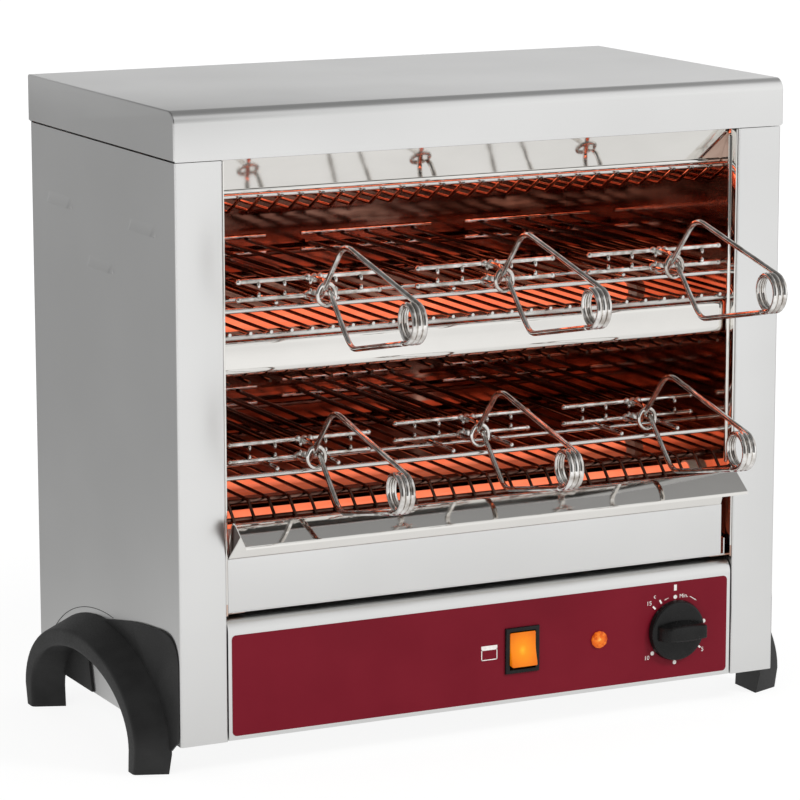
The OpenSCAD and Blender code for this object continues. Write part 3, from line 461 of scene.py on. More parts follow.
# white printing ink, dull and slightly uneven
ink = grained("whiteInk", {}, (0.6, (0.5, 0.62), 0.004), 2, ("#EFEAE6", "#FBF8F5"))
# moulded black ABS, half gloss
moulded = grained("blackAbs", {"Specular IOR Level": 0.25}, (1.1, (0.2, 0.28), 0.005), 12,
    ("#121212", "#191919"))
# moulded rubber-like polymer with a leather-fine spark-eroded texture
polymer = grained("grainedPolymer", {"Specular IOR Level": 0.45}, (0.9, (0.46, 0.60), 0.04), 20,
    ("#1E1E1E", "#282828"))
# black nylon of the gland, dry and matt
nylon = grained("blackNylon", {}, (0.7, (0.5, 0.62), 0.015), 8, ("#1A1A1B", "#242425"))
# resistance wire at orange heat
element = glowing("hotElement", {"Base Color": lin("#5A2A18"), "Roughness": 0.6,
    "Emission Strength": 1.6}, 4, ("#FF8A48", "#FFC07A"))[0]

# browning of the wire by heat; its darkest tones also serve as painted shade on the tray's gusset
browning = dict(grain=(8, (0.08, 0.18), 0.02), patch=18, wander=10, edge=6, clean="#DAD8D5",
    brown=("#4A322A", "#86665A"), soot=("#2A1A15", "#46322A"))


# chromed wire that the tubes have browned in patches, from a given depth behind the pillars on
def brownedWire(name, depth, tones=browning["brown"]):
    material, tree, shader = newMaterial(name, metal)
    surfaceGrain(tree, shader, *browning["grain"])
    spots = patches(tree, browning["patch"])
    along = splitAxes(tree, objectPlace(tree))["Y"]
    wander = calc(tree, "MULTIPLY_ADD", spots, browning["wander"] * mm, along)
    start = frontY + (depth + browning["wander"] / 2) * mm
    heat = rescale(tree, wander, start, start + browning["edge"] * mm)
    mixed = addNode(tree, "ShaderNodeMix", {
        "data_type": "RGBA", 0: heat, 6: lin(browning["clean"]), 7: twoTones(tree, spots, tones)})
    feed(tree, shader, {"Base Color": mixed.outputs[2]})
    return material


tubeGlow = dict(hotFrom=300, hotTo=340, hotPower=4.2, rearY=142, lowRise=6, slope=0.1, dim=0.3,
    dimFrom=0.5, dimTo=4)


# clouded quartz, glowing from the element inside
def glowingQuartz():
    material, tree, shader = glowing(
        "glowingQuartz", {"Base Color": lin("#C86A48"), "Roughness": 0.2}, (45, 9, 9),
        ("#EA6C48", "#F27E58"))
    axes = splitAxes(tree, objectPlace(tree))
    # the topmost pair is the hottest
    hotFrom, hotTo = [baseZ + tubeGlow[key] * mm for key in ("hotFrom", "hotTo")]
    power = rescale(tree, axes["Z"], hotFrom, hotTo, 1.0, tubeGlow["hotPower"])
    # the lowest rear tube is bright along its upper side only
    slope, rearY = tubeGlow["slope"], frontY + tubeGlow["rearY"] * mm
    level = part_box("quartz_tubes")[0].z + tubeGlow["lowRise"] * mm - slope * rearY
    dimFrom, dimTo = [level + tubeGlow[key] * mm for key in ("dimFrom", "dimTo")]
    height = calc(tree, "MULTIPLY_ADD", axes["Y"], -slope, axes["Z"])
    shade = rescale(tree, height, dimFrom, dimTo, tubeGlow["dim"])
    feed(tree, shader, {"Emission Strength": calc(tree, "MULTIPLY", power, shade)})
    return material


# clear amber polycarbonate over a neon lamp: brightest in the middle, deeper at the edges,
# cut in facets, with a painted glint that lifts or lowers the glow colour of each facet
def litAmber(name, centre, sizes):
    reach, tones, paintedGlint = sizes["glowReach"], sizes["tones"], sizes["paintedGlint"]
    material, tree, shader = newMaterial(name, {
        "Base Color": lin(tones[0]), "Roughness": 0.28, "Specular IOR Level": 0.3,
        "Emission Strength": 0.7})
    place = objectPlace(tree)
    middle = addNode(tree, "ShaderNodeMapping", {
        "Location": [-c / (r * mm) for c, r in zip(centre, reach)],
        "Scale": [1 / (r * mm) for r in reach], "Vector": place})
    halo = addNode(tree, "ShaderNodeTexGradient", {
        "gradient_type": "SPHERICAL", "Vector": middle.outputs["Vector"]})
    facetSize, facetDepth = 2.1, 0.02
    facets = addNode(tree, "ShaderNodeTexVoronoi", {
        "Scale": 1 / (facetSize * mm), "Vector": place}).outputs
    # painted glints: each facet shifts the glow colour up or down
    shade = rescale(tree, facets["Color"], 0.0, 1.0, -paintedGlint, paintedGlint)
    edge, deep, clear, core = [lin(tone) for tone in tones]
    colour = colourRamp(tree, calc(tree, "ADD", halo.outputs["Fac"], shade),
        [(0, edge), (1, core), (0.45, deep), (0.78, clear)])
    feed(tree, shader, {"Emission Color": colour,
        "Normal": relief(tree, facets["Distance"], facetDepth)})
    return material


wholeWire = -40  # a depth in front of all the wire, so that the whole of it is browned
# a dark browned finish: heat soot on the wire, and painted shade on the tray's gusset under the lip
sootAndShade = brownedWire("sootedMetal", wholeWire, browning["soot"])
cadFinish = dict(base_plate=steel, rear_panel=steel, left_liner=tinted, right_liner=tinted,
    rear_reflector=burntWithPaintedStreaks, top_reflector=burntWithPaintedStreaks, mid_roof_guard=sootAndShade,
    top_guard=brownedWire("brownedTopGuard", 29.5),
    mid_floor_guard=brownedWire("brownedFloorGuard", 10.5),
    lower_guard=brownedWire("brownedWire", wholeWire), quartz_tubes=glowingQuartz(),
    filaments=element, tube_end_caps=porcelain, terminal_block=porcelain, panel_label=film,
    timer_body=moulded, timer_shaft=brass, cable_gland=nylon, rear_screws=zinc, foot_screws=zinc)
for name, finish in cadFinish.items():
    dress(nodes[name], finish)
print("materials:", len(bpy.data.materials))

lid = dict(edge=8, sheet=1.2, fold=1.2, sideGap=1.5, frontDrop=0.9, curveStep=3, slack=0.1)


def makeLid():
    low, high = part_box("top_cover")
    rim = panelHigh.z + lid["sideGap"] * mm
    piece = addBox("lidShell", (low.x, low.y, rim), high)
    editMode(piece)
    pick(piece, "FACE", onPlane(2, rim))
    bpy.ops.mesh.delete(type="FACE")
    pickEdges(piece, y=low.y, z=high.z)
    roundEdges(lid["edge"], 10)
    curveLow = high.z - (lid["edge"] + lid["slack"]) * mm

    def onFold(edge):
        atEnd = any(onPlane(0, x)(edge) for x in (low.x, high.x))
        onTop = onPlane(2, high.z)(edge)
        upright = any(onPlane(1, y)(edge) for y in (low.y, high.y))
        short = edge.calc_length() < lid["curveStep"] * mm
        onCurve = short and all(v.co.z > curveLow for v in edge.verts)
        atRear = onTop and onPlane(1, high.y)(edge)
        return atRear or (atEnd and (onTop or upright or onCurve))

    pick(piece, "EDGE", onFold)
    roundEdges(lid["fold"], 3)
    for y in (low.y, high.y):
        pickEdges(piece, y=y, z=rim)
        pullOut(0, 0, -lid["frontDrop"])
    modify(piece, "SOLIDIFY", thickness=lid["sheet"] * mm, offset=-1)
    finishPiece(piece, steel, ["top_cover"])


side = dict(sheet=1.2, out=-225, pillarReturn=16, flange=15, foldRadius=1.6)
louvre = dict(long=44, high=8.5, root=-224.9, out=2.49, ends=(5, 3), sheet=0.8, curve=1.6, steps=40,
    rows=7, slot=2.2, slotIn=3, slotDrop=0.5, slotX=(-230, -220), places=[(54, 336), (127.5, 302),
    (201, 336)])


def makeLouvre(y, z):
    # a lanced hood: it rises to its open lower edge, and falls off steeply at its two ends
    half, high = louvre["long"] / 2, louvre["high"]
    steps, rows = louvre["steps"], louvre["rows"]
    frontEnd, rearEnd = louvre["ends"]
    rings = []
    for step in range(steps + 1):
        along = -half + 2 * half * step / steps
        share = min((along + half) / frontEnd, (half - along) / rearEnd, 1.0)
        out = louvre["out"] * sin(pi / 2 * share)
        outer = [(louvre["root"] - out * (k / rows) ** louvre["curve"],
            z + high / 2 - high * k / rows) for k in range(rows + 1)]
        inner = [(px + louvre["sheet"], pz) for px, pz in outer[::-1]]
        rings.append([at(px, y + along, pz) for px, pz in outer + inner])
    return sweep("louvre", rings)


def makeSidePanels():
    low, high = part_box("left_side_panel")
    left, inner = at(side["out"], 0, 0).x, high.x
    piece = addBox("leftSideShell", (left, low.y, low.z), high)
    editMode(piece)
    pick(piece, "FACE", lambda f: max(f.normal.x, f.normal.y, abs(f.normal.z)) > 0.5)
    bpy.ops.mesh.delete(type="FACE")
    pickEdges(piece, x=inner, y=low.y)
    pullOut(0, side["pillarReturn"], 0)
    pickEdges(piece, x=left, y=high.y)
    pullOut(side["flange"], 0, 0)
    for x, y in ((left, low.y), (inner, low.y), (left, high.y)):
        pickEdges(piece, x=x, y=y)
        roundEdges(side["foldRadius"], 4)
    for z in (low.z, high.z):
        pickEdges(piece, x=left, z=z)
        pullOut(side["flange"], 0, 0)
    modify(piece, "SOLIDIFY", thickness=side["sheet"] * mm, offset=-1)
    slots, hoods = [], []
    half = louvre["long"] / 2 - louvre["slotIn"]
    x0, x1 = louvre["slotX"]
    for y, z in louvre["places"]:
        base = z - louvre["high"] / 2 - louvre["slotDrop"]
        top = base + louvre["slot"]
        slots.append(addBox("slot", at(x0, y - half, base), at(x1, y + half, top)))
        hoods.append(makeLouvre(y, z))
    combine(piece, joinPieces("cutter", slots), "DIFFERENCE")
    piece = joinPieces("leftSideShell", [piece] + hoods)
    twin = mirrorCopy(piece, "rightSideShell")
    finishPiece(piece, steel, ["left_side_panel"])
    finishPiece(twin, steel, ["right_side_panel"])


controlZ, switchX, lampX, timerX = 36.9, 26.3, 86.2, 146.5
panel = dict(sheet=1.2, roll=9, half=190.6, front=1.0, under=0.2, high=82, deep=33, cheek=16,
    endGap=0.02, switch=(21.8, 28.6), cut=(-3, 6), lamp=8.6, shaft=6.6, drill=10)


def makeControlPanel():
    t, under, half = panel["sheet"], panel["under"], panel["half"]
    y0, z1, r = panel["front"] + t / 2, panel["high"] - t / 2, panel["roll"] - t / 2
    path = [(y0, under), (y0, z1 - r)] + arc((y0 + r, z1 - r), r, 180, 90, 8)[1:]
    rear = (panel["front"] + panel["deep"], z1)
    face = drawAcross("controlShell", thickLine(path + [rear], t), -half, half)
    cheek = path + [(panel["cheek"], z1), (panel["cheek"], under)]
    ends = [drawAcross("cheek", cheek, x, x + t)
        for x in (-half + panel["endGap"], half - t - panel["endGap"])]
    holes = [addBox("hole", *frontBox(switchX, controlZ, panel["switch"], *panel["cut"]))]
    for x, d in ((lampX, panel["lamp"]), (timerX, panel["shaft"])):
        bpy.ops.mesh.primitive_cylinder_add(
            vertices=48, radius=d / 2 * mm, depth=panel["drill"] * mm,
            location=at(x, panel["front"], controlZ), rotation=(pi / 2, 0, 0))
        holes.append(bpy.context.object)
    combine(face, joinPieces("cutter", holes), "DIFFERENCE")
    piece = joinPieces("controlShell", [face] + ends)
    finishPiece(piece, steel, ["control_panel"])


fascia = dict(sheet=1.2, left=-187.5, right=189.2, turn=5, turnSteps=8, front=10, low=240, high=263,
    back=18, lowerBend=5, upperBend=1.8)


def makeFascia():
    t, y0 = fascia["sheet"], fascia["front"] + fascia["sheet"] / 2
    z0, z1 = fascia["low"] + t / 2, fascia["high"] - t / 2
    r, q, turn = fascia["lowerBend"], fascia["upperBend"], fascia["turn"]
    path = [(fascia["back"], z1)] + arc((y0 + q, z1 - q), q, 90, 180, 5)
    path += arc((y0 + r, z0 + r), r, 180, 270, 8) + [(fascia["back"], z0)]
    outline = thickLine(path, t)
    rings = [[at(fascia["left"], y, z) for y, z in outline]]
    # the right end turns back in a round
    for k in range(fascia["turnSteps"] + 1):
        a = pi / 2 * k / fascia["turnSteps"]
        x, back = fascia["right"] - turn * (1 - sin(a)), turn * (1 - cos(a))
        rings.append([at(x, y + back, z) for y, z in outline])
    finishPiece(sweep("midFascia", rings), bright, ["mid_fascia"])


baffle = dict(half=190.25, sheet=1.0, path=[(29.6, 381.8), (10.6, 381.8), (22.4, 360.4)], bead=4.0,
    beadAt=(22.8, 359.6))


def makeBaffle():
    half = baffle["half"]
    sheet = drawAcross("topBaffle", thickLine(baffle["path"], baffle["sheet"]), -half, half)
    bead = makeWire("bead", [at(x, *baffle["beadAt"]) for x in (-half, half)], baffle["bead"], 20)
    finishPiece(joinPieces("topBaffle", [sheet, bead]), bright, ["top_baffle"])


edging = dict(x=190.4, y=9.2, z=(150, 378), wide=2.8, soft=0.3,
    strip=((190.15, 1.3, 92), (191.45, 8, 382.6)))


def makeEdging():  # the rolled front edges of the liners
    path = [at(edging["x"], edging["y"], z) for z in edging["z"]]
    strip = bevelBox("strip", *[at(*corner) for corner in edging["strip"]], edging["soft"], 2)
    right = joinPieces("rightLinerEdge", [strip, makeWire("bead", path, edging["wide"], 16)])
    for piece in (mirrorCopy(right, "leftLinerEdge"), right):
        finishPiece(piece, bright)


rack = dict(upper=282.5, lower=172.5, rail=3.4, railLift=1.3, guide=3.2, guideLift=5.1, half=190.1,
    rails=(10, 50, 227), guideX=22, pitch=129, front=7.5, back=235.6, cleanTo=58, sides=16)


def makeRacks():
    finish = brownedWire("brownedRack", rack["cleanTo"])
    first, level = rack["rails"][0], rack["upper"] + rack["railLift"]
    path = [at(x, first, level) for x in (-rack["half"], rack["half"])]
    rail = makeWire("upperRack", path, rack["rail"], rack["sides"])
    parts = [rail] + [copyPiece(rail, "rail", (0, (y - first) * mm, 0)) for y in rack["rails"][1:]]
    path = [at(0, y, rack["upper"] + rack["guideLift"]) for y in (rack["front"], rack["back"])]
    guide = makeWire("guide", path, rack["guide"], rack["sides"])
    for column in (-1, 0, 1):
        for hand in (-1, 1):
            x = column * rack["pitch"] + hand * rack["guideX"]
            parts.append(copyPiece(guide, "guide", (x * mm, 0, 0)))
    remove(guide)
    upper = joinPieces("upperRack", parts)
    lower = copyPiece(upper, "lowerRack", (0, 0, (rack["lower"] - rack["upper"]) * mm))
    finishPiece(upper, finish, ["upper_rack"])
    finishPiece(lower, finish, ["lower_rack"])


tray = dict(half=187, left=-189.6, plateRight=183.5, sheet=1.0, face=2.9, under=85.7,
    plate=[(4.2, 85.7), (3.3, 86.2), (2.9, 87.3), (2.9, 121.7)], band=[(4, 115.7), (4, 120.7),
    (-3.5, 142.8)], hump=(-8.2, 143.1), humpRadius=4.5, fall=126, straight=18, turn=1.4, edge=0.8,
    gusset=9, paintedShadeGussetX=(-189.4, -188.8), floorFrom=2.5, back=232, wall=12, soft=0.3, lipY=2.0,
    slack=0.05)


def makeTray():
    t, face, under, back = tray["sheet"], tray["face"], tray["under"], tray["back"]
    x, left, right = tray["half"], tray["left"], tray["plateRight"]
    # the lip: a hump, a straight fall, and a turn down to its edge
    r, q, a = tray["humpRadius"], tray["turn"], radians(tray["fall"])
    hump = arc(tray["hump"], r, 0, tray["fall"], 18)
    out, on = (cos(a), sin(a)), (-sin(a), cos(a))
    turnY, turnZ = [c + (r - q) * o + tray["straight"] * n
        for c, o, n in zip(tray["hump"], out, on)]
    lip = hump + arc((turnY, turnZ), q, tray["fall"], 180, 6) + [(turnY - q, turnZ - tray["edge"])]
    parts = [drawAcross(name, thickLine(line, t), left, end) for name, line, end in (
        ("trayShell", lip, x), ("trayBand", tray["band"], right),
        ("trayPlate", tray["plate"], right))]
    # a small dark gusset closes the left end under the lip: a sheet of painted shade where the
    # lip's overhang shades that end
    gusset = [tray["band"][1]] + hump
    gusset.append(tuple(h + n * tray["gusset"] for h, n in zip(hump[-1], on)))
    parts.append(drawAcross("trayGusset", gusset, *tray["paintedShadeGussetX"]))
    wall = under + tray["wall"]
    for low, high in (((-x, tray["floorFrom"], under), (x, back, under + t)),
            ((-x, face, under), (t - x, back, wall)),
            ((x - t, face, under), (x, back, wall)),
            ((-x, back - t, under), (x, back, wall))):
        parts.append(bevelBox("trayWall", at(*low), at(*high), tray["soft"]))
    piece = joinPieces("trayShell", parts)
    lipBack, paintedShadeX = at(0, tray["lipY"], 0).y, at(tray["paintedShadeGussetX"][0], 0, 0).x
    # the lip is bright stainless; the gusset's faces take the dark browned finish as painted shade
    # under the lip
    setFinishes(piece, (steel, bright, sootAndShade), lambda centre: (
        2 if abs(centre.x - paintedShadeX) < tray["slack"] * mm else centre.y < lipBack))
    finishPiece(piece, None, ["crumb_tray"], "tray")


switch = dict(bezel=(25.8, 31.9), out=1.8, back=0.65, edge=0.6, open=(20, 26.8), openY=(-6, 14),
    openSoft=0.4, body=(21.8, 28.6), bodyFrom=0.4, deep=25, bodySoft=0.3)
# the outline seen from the side, with corner radii, and its share of width and size at the ends
rocker = dict(half=9.7, outline=[(-6.2, 12, 0.7), (-4.6, 0, 4.0), (-6.2, -12, 0.7), (3, -9, 0.5),
    (3, 9, 0.5)], ends=[(0.93, 1.0), (0.97, 0.98), (1, 0.93)], tilt=-8, pivotY=3.0, pin=(1.2, 21.8),
    pinSoft=0.2, glow=(-0.5, -2, 0.3), glowReach=(15, 22, 17), paintedGlint=0.03,
    tones=("#B45204", "#E08408", "#F09C10", "#FFD030"))


def makeSwitch():
    back, front = switch["back"], switch["back"] - switch["out"]
    bezel = addBox("switchBezel", *frontBox(switchX, controlZ, switch["bezel"], front, back))
    editMode(bezel)
    pickEdges(bezel, y=at(0, front, 0).y)
    roundEdges(switch["edge"], 3)
    objectMode()
    body = frontBox(switchX, controlZ, switch["body"], switch["bodyFrom"], back + switch["deep"])
    combine(bezel, bevelBox("switchBlock", *body, switch["bodySoft"]), "UNION")
    well = frontBox(switchX, controlZ, switch["open"], *switch["openY"])
    combine(bezel, bevelBox("well", *well, switch["openSoft"], 2), "DIFFERENCE")
    finishPiece(bezel, moulded, ["switch_body"])


def makeRocker():
    turn = Matrix.Rotation(radians(rocker["tilt"]), 2)
    outline = [turn @ p for p in roundOutline(rocker["outline"], 5)]
    ends = [(-across, shrink) for across, shrink in rocker["ends"][::-1]] + rocker["ends"]
    rings = [[at(switchX + across * rocker["half"], rocker["pivotY"] + p.x * shrink,
        controlZ + p.y * shrink) for p in outline] for across, shrink in ends]
    piece = sweep("litRocker", rings)
    radius, long = rocker["pin"]
    bpy.ops.mesh.primitive_cylinder_add(
        vertices=24, radius=radius * mm, depth=long * mm,
        location=at(switchX, rocker["pivotY"], controlZ), rotation=(0, pi / 2, 0))
    pin = bpy.context.object
    editMode(pin)
    pick(pin, "FACE", lambda f: abs(f.normal.x) > 0.9)
    roundEdges(rocker["pinSoft"], 2)
    piece = joinPieces("litRocker", [piece, pin])
    x, y, z = rocker["glow"]
    amber = litAmber("litAmberRocker", at(switchX + x, y, controlZ + z), rocker)
    finishPiece(piece, amber, ["switch_rocker"], "rocker")


# the barrel, the rim and the lens: radius, depth and turn of each ring of facets
lamp = dict(profile=[(4.3, 20.65, 0), (4.3, 0.65, 0), (5.9, 0.65, 0), (6, 0.15, 0), (6, -0.65, 0),
    (5.2, -1.2, 0), (3.8, -1.65, 0.5), (2.0, -1.88, 0), (0.7, -1.95, 0)], facets=12, glowY=-1.95,
    glowReach=(7.5, 12, 7.5), paintedGlint=0.5, tones=("#A03C06", "#D8660E", "#EC8A24", "#FFD070"))


def makeLamp():
    dome = sweep("lampLens", [discRing((lampX, controlZ), r, y, lamp["facets"], turn)
        for r, y, turn in lamp["profile"]])
    amber = litAmber("litAmberLamp", at(lampX, lamp["glowY"], controlZ), lamp)
    finishPiece(dome, amber, ["pilot_lamp"], angle=8)


# the skirt: radius and depth; the grip's base and crest: left, right, half width and bow
knob = dict(profile=[(20.2, 0.2), (21.1, -0.05), (21.4, -0.7), (20.7, -3.5), (20.45, -4.1),
    (20, -4.48), (19.4, -4.6), (16.4, -4.7)], sides=72, gripFrom=-4.6, gripHigh=9.8,
    gripBase=(-17.2, 18.2, 5.0, 2.8), gripCrest=(-12, 17.2, 4.4, 0.8), gripSteps=[(-0.1, 0),
    (0.25, 0), (0.5, 0), (0.75, 0), (0.9, 0.05), (0.97, 0.25), (1, 0.7)], gripSoft=0.45)


def makeKnob():
    disc = sweep("timerKnob", [discRing((timerX, controlZ), r, y, knob["sides"])
        for r, y in knob["profile"]])
    # the grip: a bar with bowed sides that is pinched towards its crest
    spots = [k / 6 - 1 for k in range(13)]
    rings = []
    for share, inset in knob["gripSteps"]:
        left, right, half, bow = [b + (c - b) * max(share, 0)
            for b, c in zip(knob["gripBase"], knob["gripCrest"])]
        middle, reach = (left + right) / 2, (right - left) / 2 - inset
        upper = [(middle + u * reach, half + bow * (1 - u * u) - inset) for u in spots]
        outline = upper + [(px, -pz) for px, pz in upper[::-1]]
        y = knob["gripFrom"] - share * knob["gripHigh"]
        rings.append([at(timerX + px, y, controlZ + pz) for px, pz in outline])
    grip = sweep("grip", rings)
    softenCorners(grip, knob["gripSoft"])
    piece = joinPieces("timerKnob", [disc, grip])
    finishPiece(piece, moulded, ["timer_knob"], "knob")


# lines go from one point to another with a width, arrows from tip to root, words have a size
dial = dict(face=0.7, thick=0.03, sink=0.002, ring=23.3, dot=1.45, dots=[0, 81, 180, 230],
    ticks=[126, 316, 331], tick=(22.6, 25.6), tickWide=1.3,
    lines=[((146.5, 64.7), (146.5, 68.9), 2.2), ((158.2, 59.4), (162.6, 56.6), 0.45),
    ((141.0, 60.0), (138.9, 59.2), 0.4)], arrows=[((163.7, 55.9), (161.9, 57.05)),
    ((137.6, 58.7), (139.3, 59.35))], arrowHalf=0.6, signSoft=0.2,
    sign=[((-4.6, 39.2), (7.6, 42.3)), ((-4.6, 32.2), (-4.0, 40.0)), ((7.0, 32.2), (7.6, 40.0)),
    ((-4.6, 32.2), (7.6, 32.8))], words=[("10", 124.3, 19.0, 4.25), ("5", 168.8, 20.3, 4.25),
    ("15", 125.7, 57.6, 4.25), ("c", 130.2, 62.2, 4.25), ("Min.", 153.2, 60.3, 4.0)],
    wordThick=0.024)


def dialPoint(angle, radius):
    a = radians(angle)
    return timerX + radius * sin(a), controlZ + radius * cos(a)


def sideways(start, end, reach):  # the two points beside the start of a stroke
    along = (Vector(end) - Vector(start)).normalized()
    off = Vector((-along.y, along.x)) * reach
    return [(start[0] + off.x, start[1] + off.y), (start[0] - off.x, start[1] - off.y)]


def makeWord(text, x, z, size):
    deselect()
    bpy.ops.object.text_add(location=at(x, dial["face"] - dial["thick"], z),
        rotation=(pi / 2, 0, 0))
    word = bpy.context.object
    word.data.body = text
    word.data.size = size * mm
    word.data.align_x = "CENTER"
    word.data.align_y = "CENTER"
    bpy.ops.object.convert(target="MESH")
    applyMoves()
    modify(word, "SOLIDIFY", thickness=dial["wordThick"] * mm, offset=-1)
    return word


def makeDialPrint():
    outlines = [arc(dialPoint(angle, dial["ring"]), dial["dot"], 0, 360, 28)[:-1]
        for angle in dial["dots"]]
    ticks = [(*[dialPoint(angle, r) for r in dial["tick"]], dial["tickWide"])
        for angle in dial["ticks"]]
    for start, end, wide in dial["lines"] + ticks:
        outlines.append(sideways(start, end, wide / 2) + sideways(end, start, wide / 2))
    for tip, root in dial["arrows"]:
        outlines.append([tip] + sideways(root, tip, dial["arrowHalf"]))
    # the plate sign beside the switch: an outlined box with a filled top
    for (x0, z0), (x1, z1) in dial["sign"]:
        box = [Vector(p) for p in ((x0, z0), (x1, z0), (x1, z1), (x0, z1))]
        outlines.append([tuple(p) for p in roundCorners(box, [dial["signSoft"]] * 4, 2)])
    depths = dial["face"] - dial["sink"], dial["face"] - dial["thick"]
    marks = [sweep("mark", [[at(x, y, z) for x, z in outline] for y in depths])
        for outline in outlines]
    piece = joinPieces("dialPrint", marks + [makeWord(*word) for word in dial["words"]])
    finishPiece(piece, ink)


# lines of the arch, from the panel over the rim and back: inset, taper to the sole and rise;
# the wing: depth, height and corner radius
foot = dict(middle=127.5, spring=-8, floor=-23, panel=-225.05, rim=-247, step=5,
    lines=[(15.2, 5.3, 66), (25.6, 3.4, 57), (39, 1, 45), (47.5, 1, 45)], soft=(0.6, 2.2, 2.6, 0.6),
    wing=2, wingThin=0.5, wingRun=22, wingSoft=0.4, wingLine=[(127.5, 58, 0.5), (70, 69, 18),
    (30, 72.7, 5), (2, 72.7, 22), (2, 4, 4), (15.2, -6, 1), (30, 20, 4), (60, 45, 6), (100, 52, 4)],
    web=1.5, webLine=[(153, 0.5), (163, 40), (195, 38), (226, 12), (226, 0.5)], seam=0.5,
    seamIn=0.05, seamLine=(117, 69.6), seamTurns=range(84, 148, 2))


def footBend(reach, rise, turns):
    turns = [radians(a) for a in turns]
    return [(foot["middle"] - reach * cos(a), foot["spring"] + rise * sin(a)) for a in turns]


def footLine(inset, taper, rise):
    half = foot["middle"] - inset
    front, rear = [(foot["middle"] + hand * (half - taper), foot["floor"]) for hand in (-1, 1)]
    return [front] + footBend(half, rise, range(0, 181, foot["step"])) + [rear]


def makeFeet():
    wall, rim, soft = foot["panel"], foot["rim"], [r * mm for r in foot["soft"]]
    lines = [[at(x, y, z) for y, z in footLine(*line)]
        for x, line in zip((wall, rim, rim, wall), foot["lines"])]
    arch = sweep("leftFoot", [roundCorners(points, soft, 4) for points in zip(*lines)])
    # the wing runs out thin towards the pillar
    flat = roundOutline(foot["wingLine"], 8)
    thin, more = foot["wingThin"], foot["wing"] - foot["wingThin"]
    outer = [at(wall - thin - more * min(p.x / foot["wingRun"], 1), p.x, p.y) for p in flat]
    plate = sweep("wing", [[at(wall, p.x, p.y) for p in flat], outer])
    softenCorners(plate, foot["wingSoft"])
    # a web closes the rear half of the arch, and a fine seam runs over the crest on the panel
    web = drawAcross("web", foot["webLine"], wall, wall - foot["web"])
    seam = footBend(*foot["seamLine"], foot["seamTurns"])
    seam = makeWire("seam", [at(wall + foot["seamIn"], y, z) for y, z in seam], foot["seam"], 8)
    left = joinPieces("leftFoot", [arch, plate, web, seam])
    right = mirrorCopy(left, "rightFoot")
    finishPiece(left, polymer, ["left_foot"])
    finishPiece(right, polymer, ["right_foot"])


# welds: across, forward and up from the front bar, then the lump's three radii
tong = dict(bar=3.3, wire=2.8, width=103, long=182, wires=5, pitch=18.3, apart=11.6, wireOff=2.3,
    pip=2.5, nub=(1.4, 1.7, 2.1), nubOut=1.4, nubOff=2.7, barEnd=(2.4, 2.0, 2.0), barEndIn=1.4,
    sootFrom=4, handle=3.5, bend=16, cornerReach=58, apexRise=35.2, cornerDrop=33, knuckle=20,
    armX=2.3, endGap=0.05, lead=1.5, leadGap=0.3, coilReach=148.7, coilDrop=2, coilRadius=11.8,
    coilIn=9.9, coilOut=886.9, coilHalf=4.3, coilSteps=60, ring=(-0.7, 27.7, -1.45), ringWide=6.4,
    ringTall=7.1, ringWire=3, welds=[(6.2, 3.2, 0.5, 3.2, 2.8, 3.2),
    (2.6, 2.0, -0.4, 4.2, 3.4, 4.2), (-1.6, 1.0, 0.3, 3.6, 2.6, 3.0)], highWelds=0.76, weldTo=6.5,
    weldTop=0.9)


def tongPoint(x, reach, high):
    return Vector((x, -reach, high)) * mm


def makeWeld(name, point, reach):  # the lump of a spot weld, narrower above
    deselect()
    bpy.ops.mesh.primitive_uv_sphere_add(segments=16, ring_count=10, location=point)
    lump = named(name)
    lump.scale = Vector(reach) * mm
    applyMoves()
    editMode(lump)
    pick(lump, "VERT", lambda v: v.co.z > point.z)
    bpy.ops.transform.resize(value=(tong["weldTop"], 1, 1), center_override=point)
    objectMode()
    return lump


def makeJaw(name, way):  # the upper jaw with way 1, the lower one with -1
    high, half = way * tong["apart"] / 2, (tong["wires"] - 1) / 2 * tong["pitch"]
    path = [tongPoint(x, 0, high) for x in (-tong["width"] / 2, tong["width"] / 2)]
    front = makeWire(name, path, tong["bar"], 16)
    bars = [front, copyPiece(front, "bar", (0, tong["long"] * mm, 0))]
    wireHigh = way * (tong["apart"] / 2 - tong["wireOff"])
    path = [tongPoint(-half, reach, wireHigh)
        for reach in (tong["pip"], -tong["long"] - tong["pip"])]
    wire = makeWire("wire", path, tong["wire"])
    # a nub of weld where each wire meets the front bar, and one on each end of the bar
    nubHigh = way * (tong["apart"] / 2 - tong["nubOff"])
    nub = makeWeld("nub", tongPoint(-half, tong["nubOut"], nubHigh), tong["nub"])
    for piece in (wire, nub):
        bars += [piece] + [copyPiece(piece, piece.name, (k * tong["pitch"] * mm, 0, 0))
            for k in range(1, tong["wires"])]
    tip = tong["width"] / 2 - tong["barEndIn"]
    cap = makeWeld("barEnd", tongPoint(-tip, 0, high), tong["barEnd"])
    piece = joinPieces(name, bars + [cap, copyPiece(cap, "barEnd", (2 * tip * mm, 0, 0))])
    sootFrom, sootTo = tong["sootFrom"] * mm, (tong["long"] - tong["bar"] / 2) * mm
    setFinishes(piece, (sootAndShade, chrome), lambda centre: not sootFrom < centre.y < sootTo)
    return piece


def coilPoint(share):
    b = radians(tong["coilIn"] + (tong["coilOut"] - tong["coilIn"]) * share)
    return tongPoint(tong["coilHalf"] * (2 * share - 1),
        tong["coilReach"] + tong["coilRadius"] * sin(b),
        -tong["coilDrop"] - tong["coilRadius"] * cos(b))


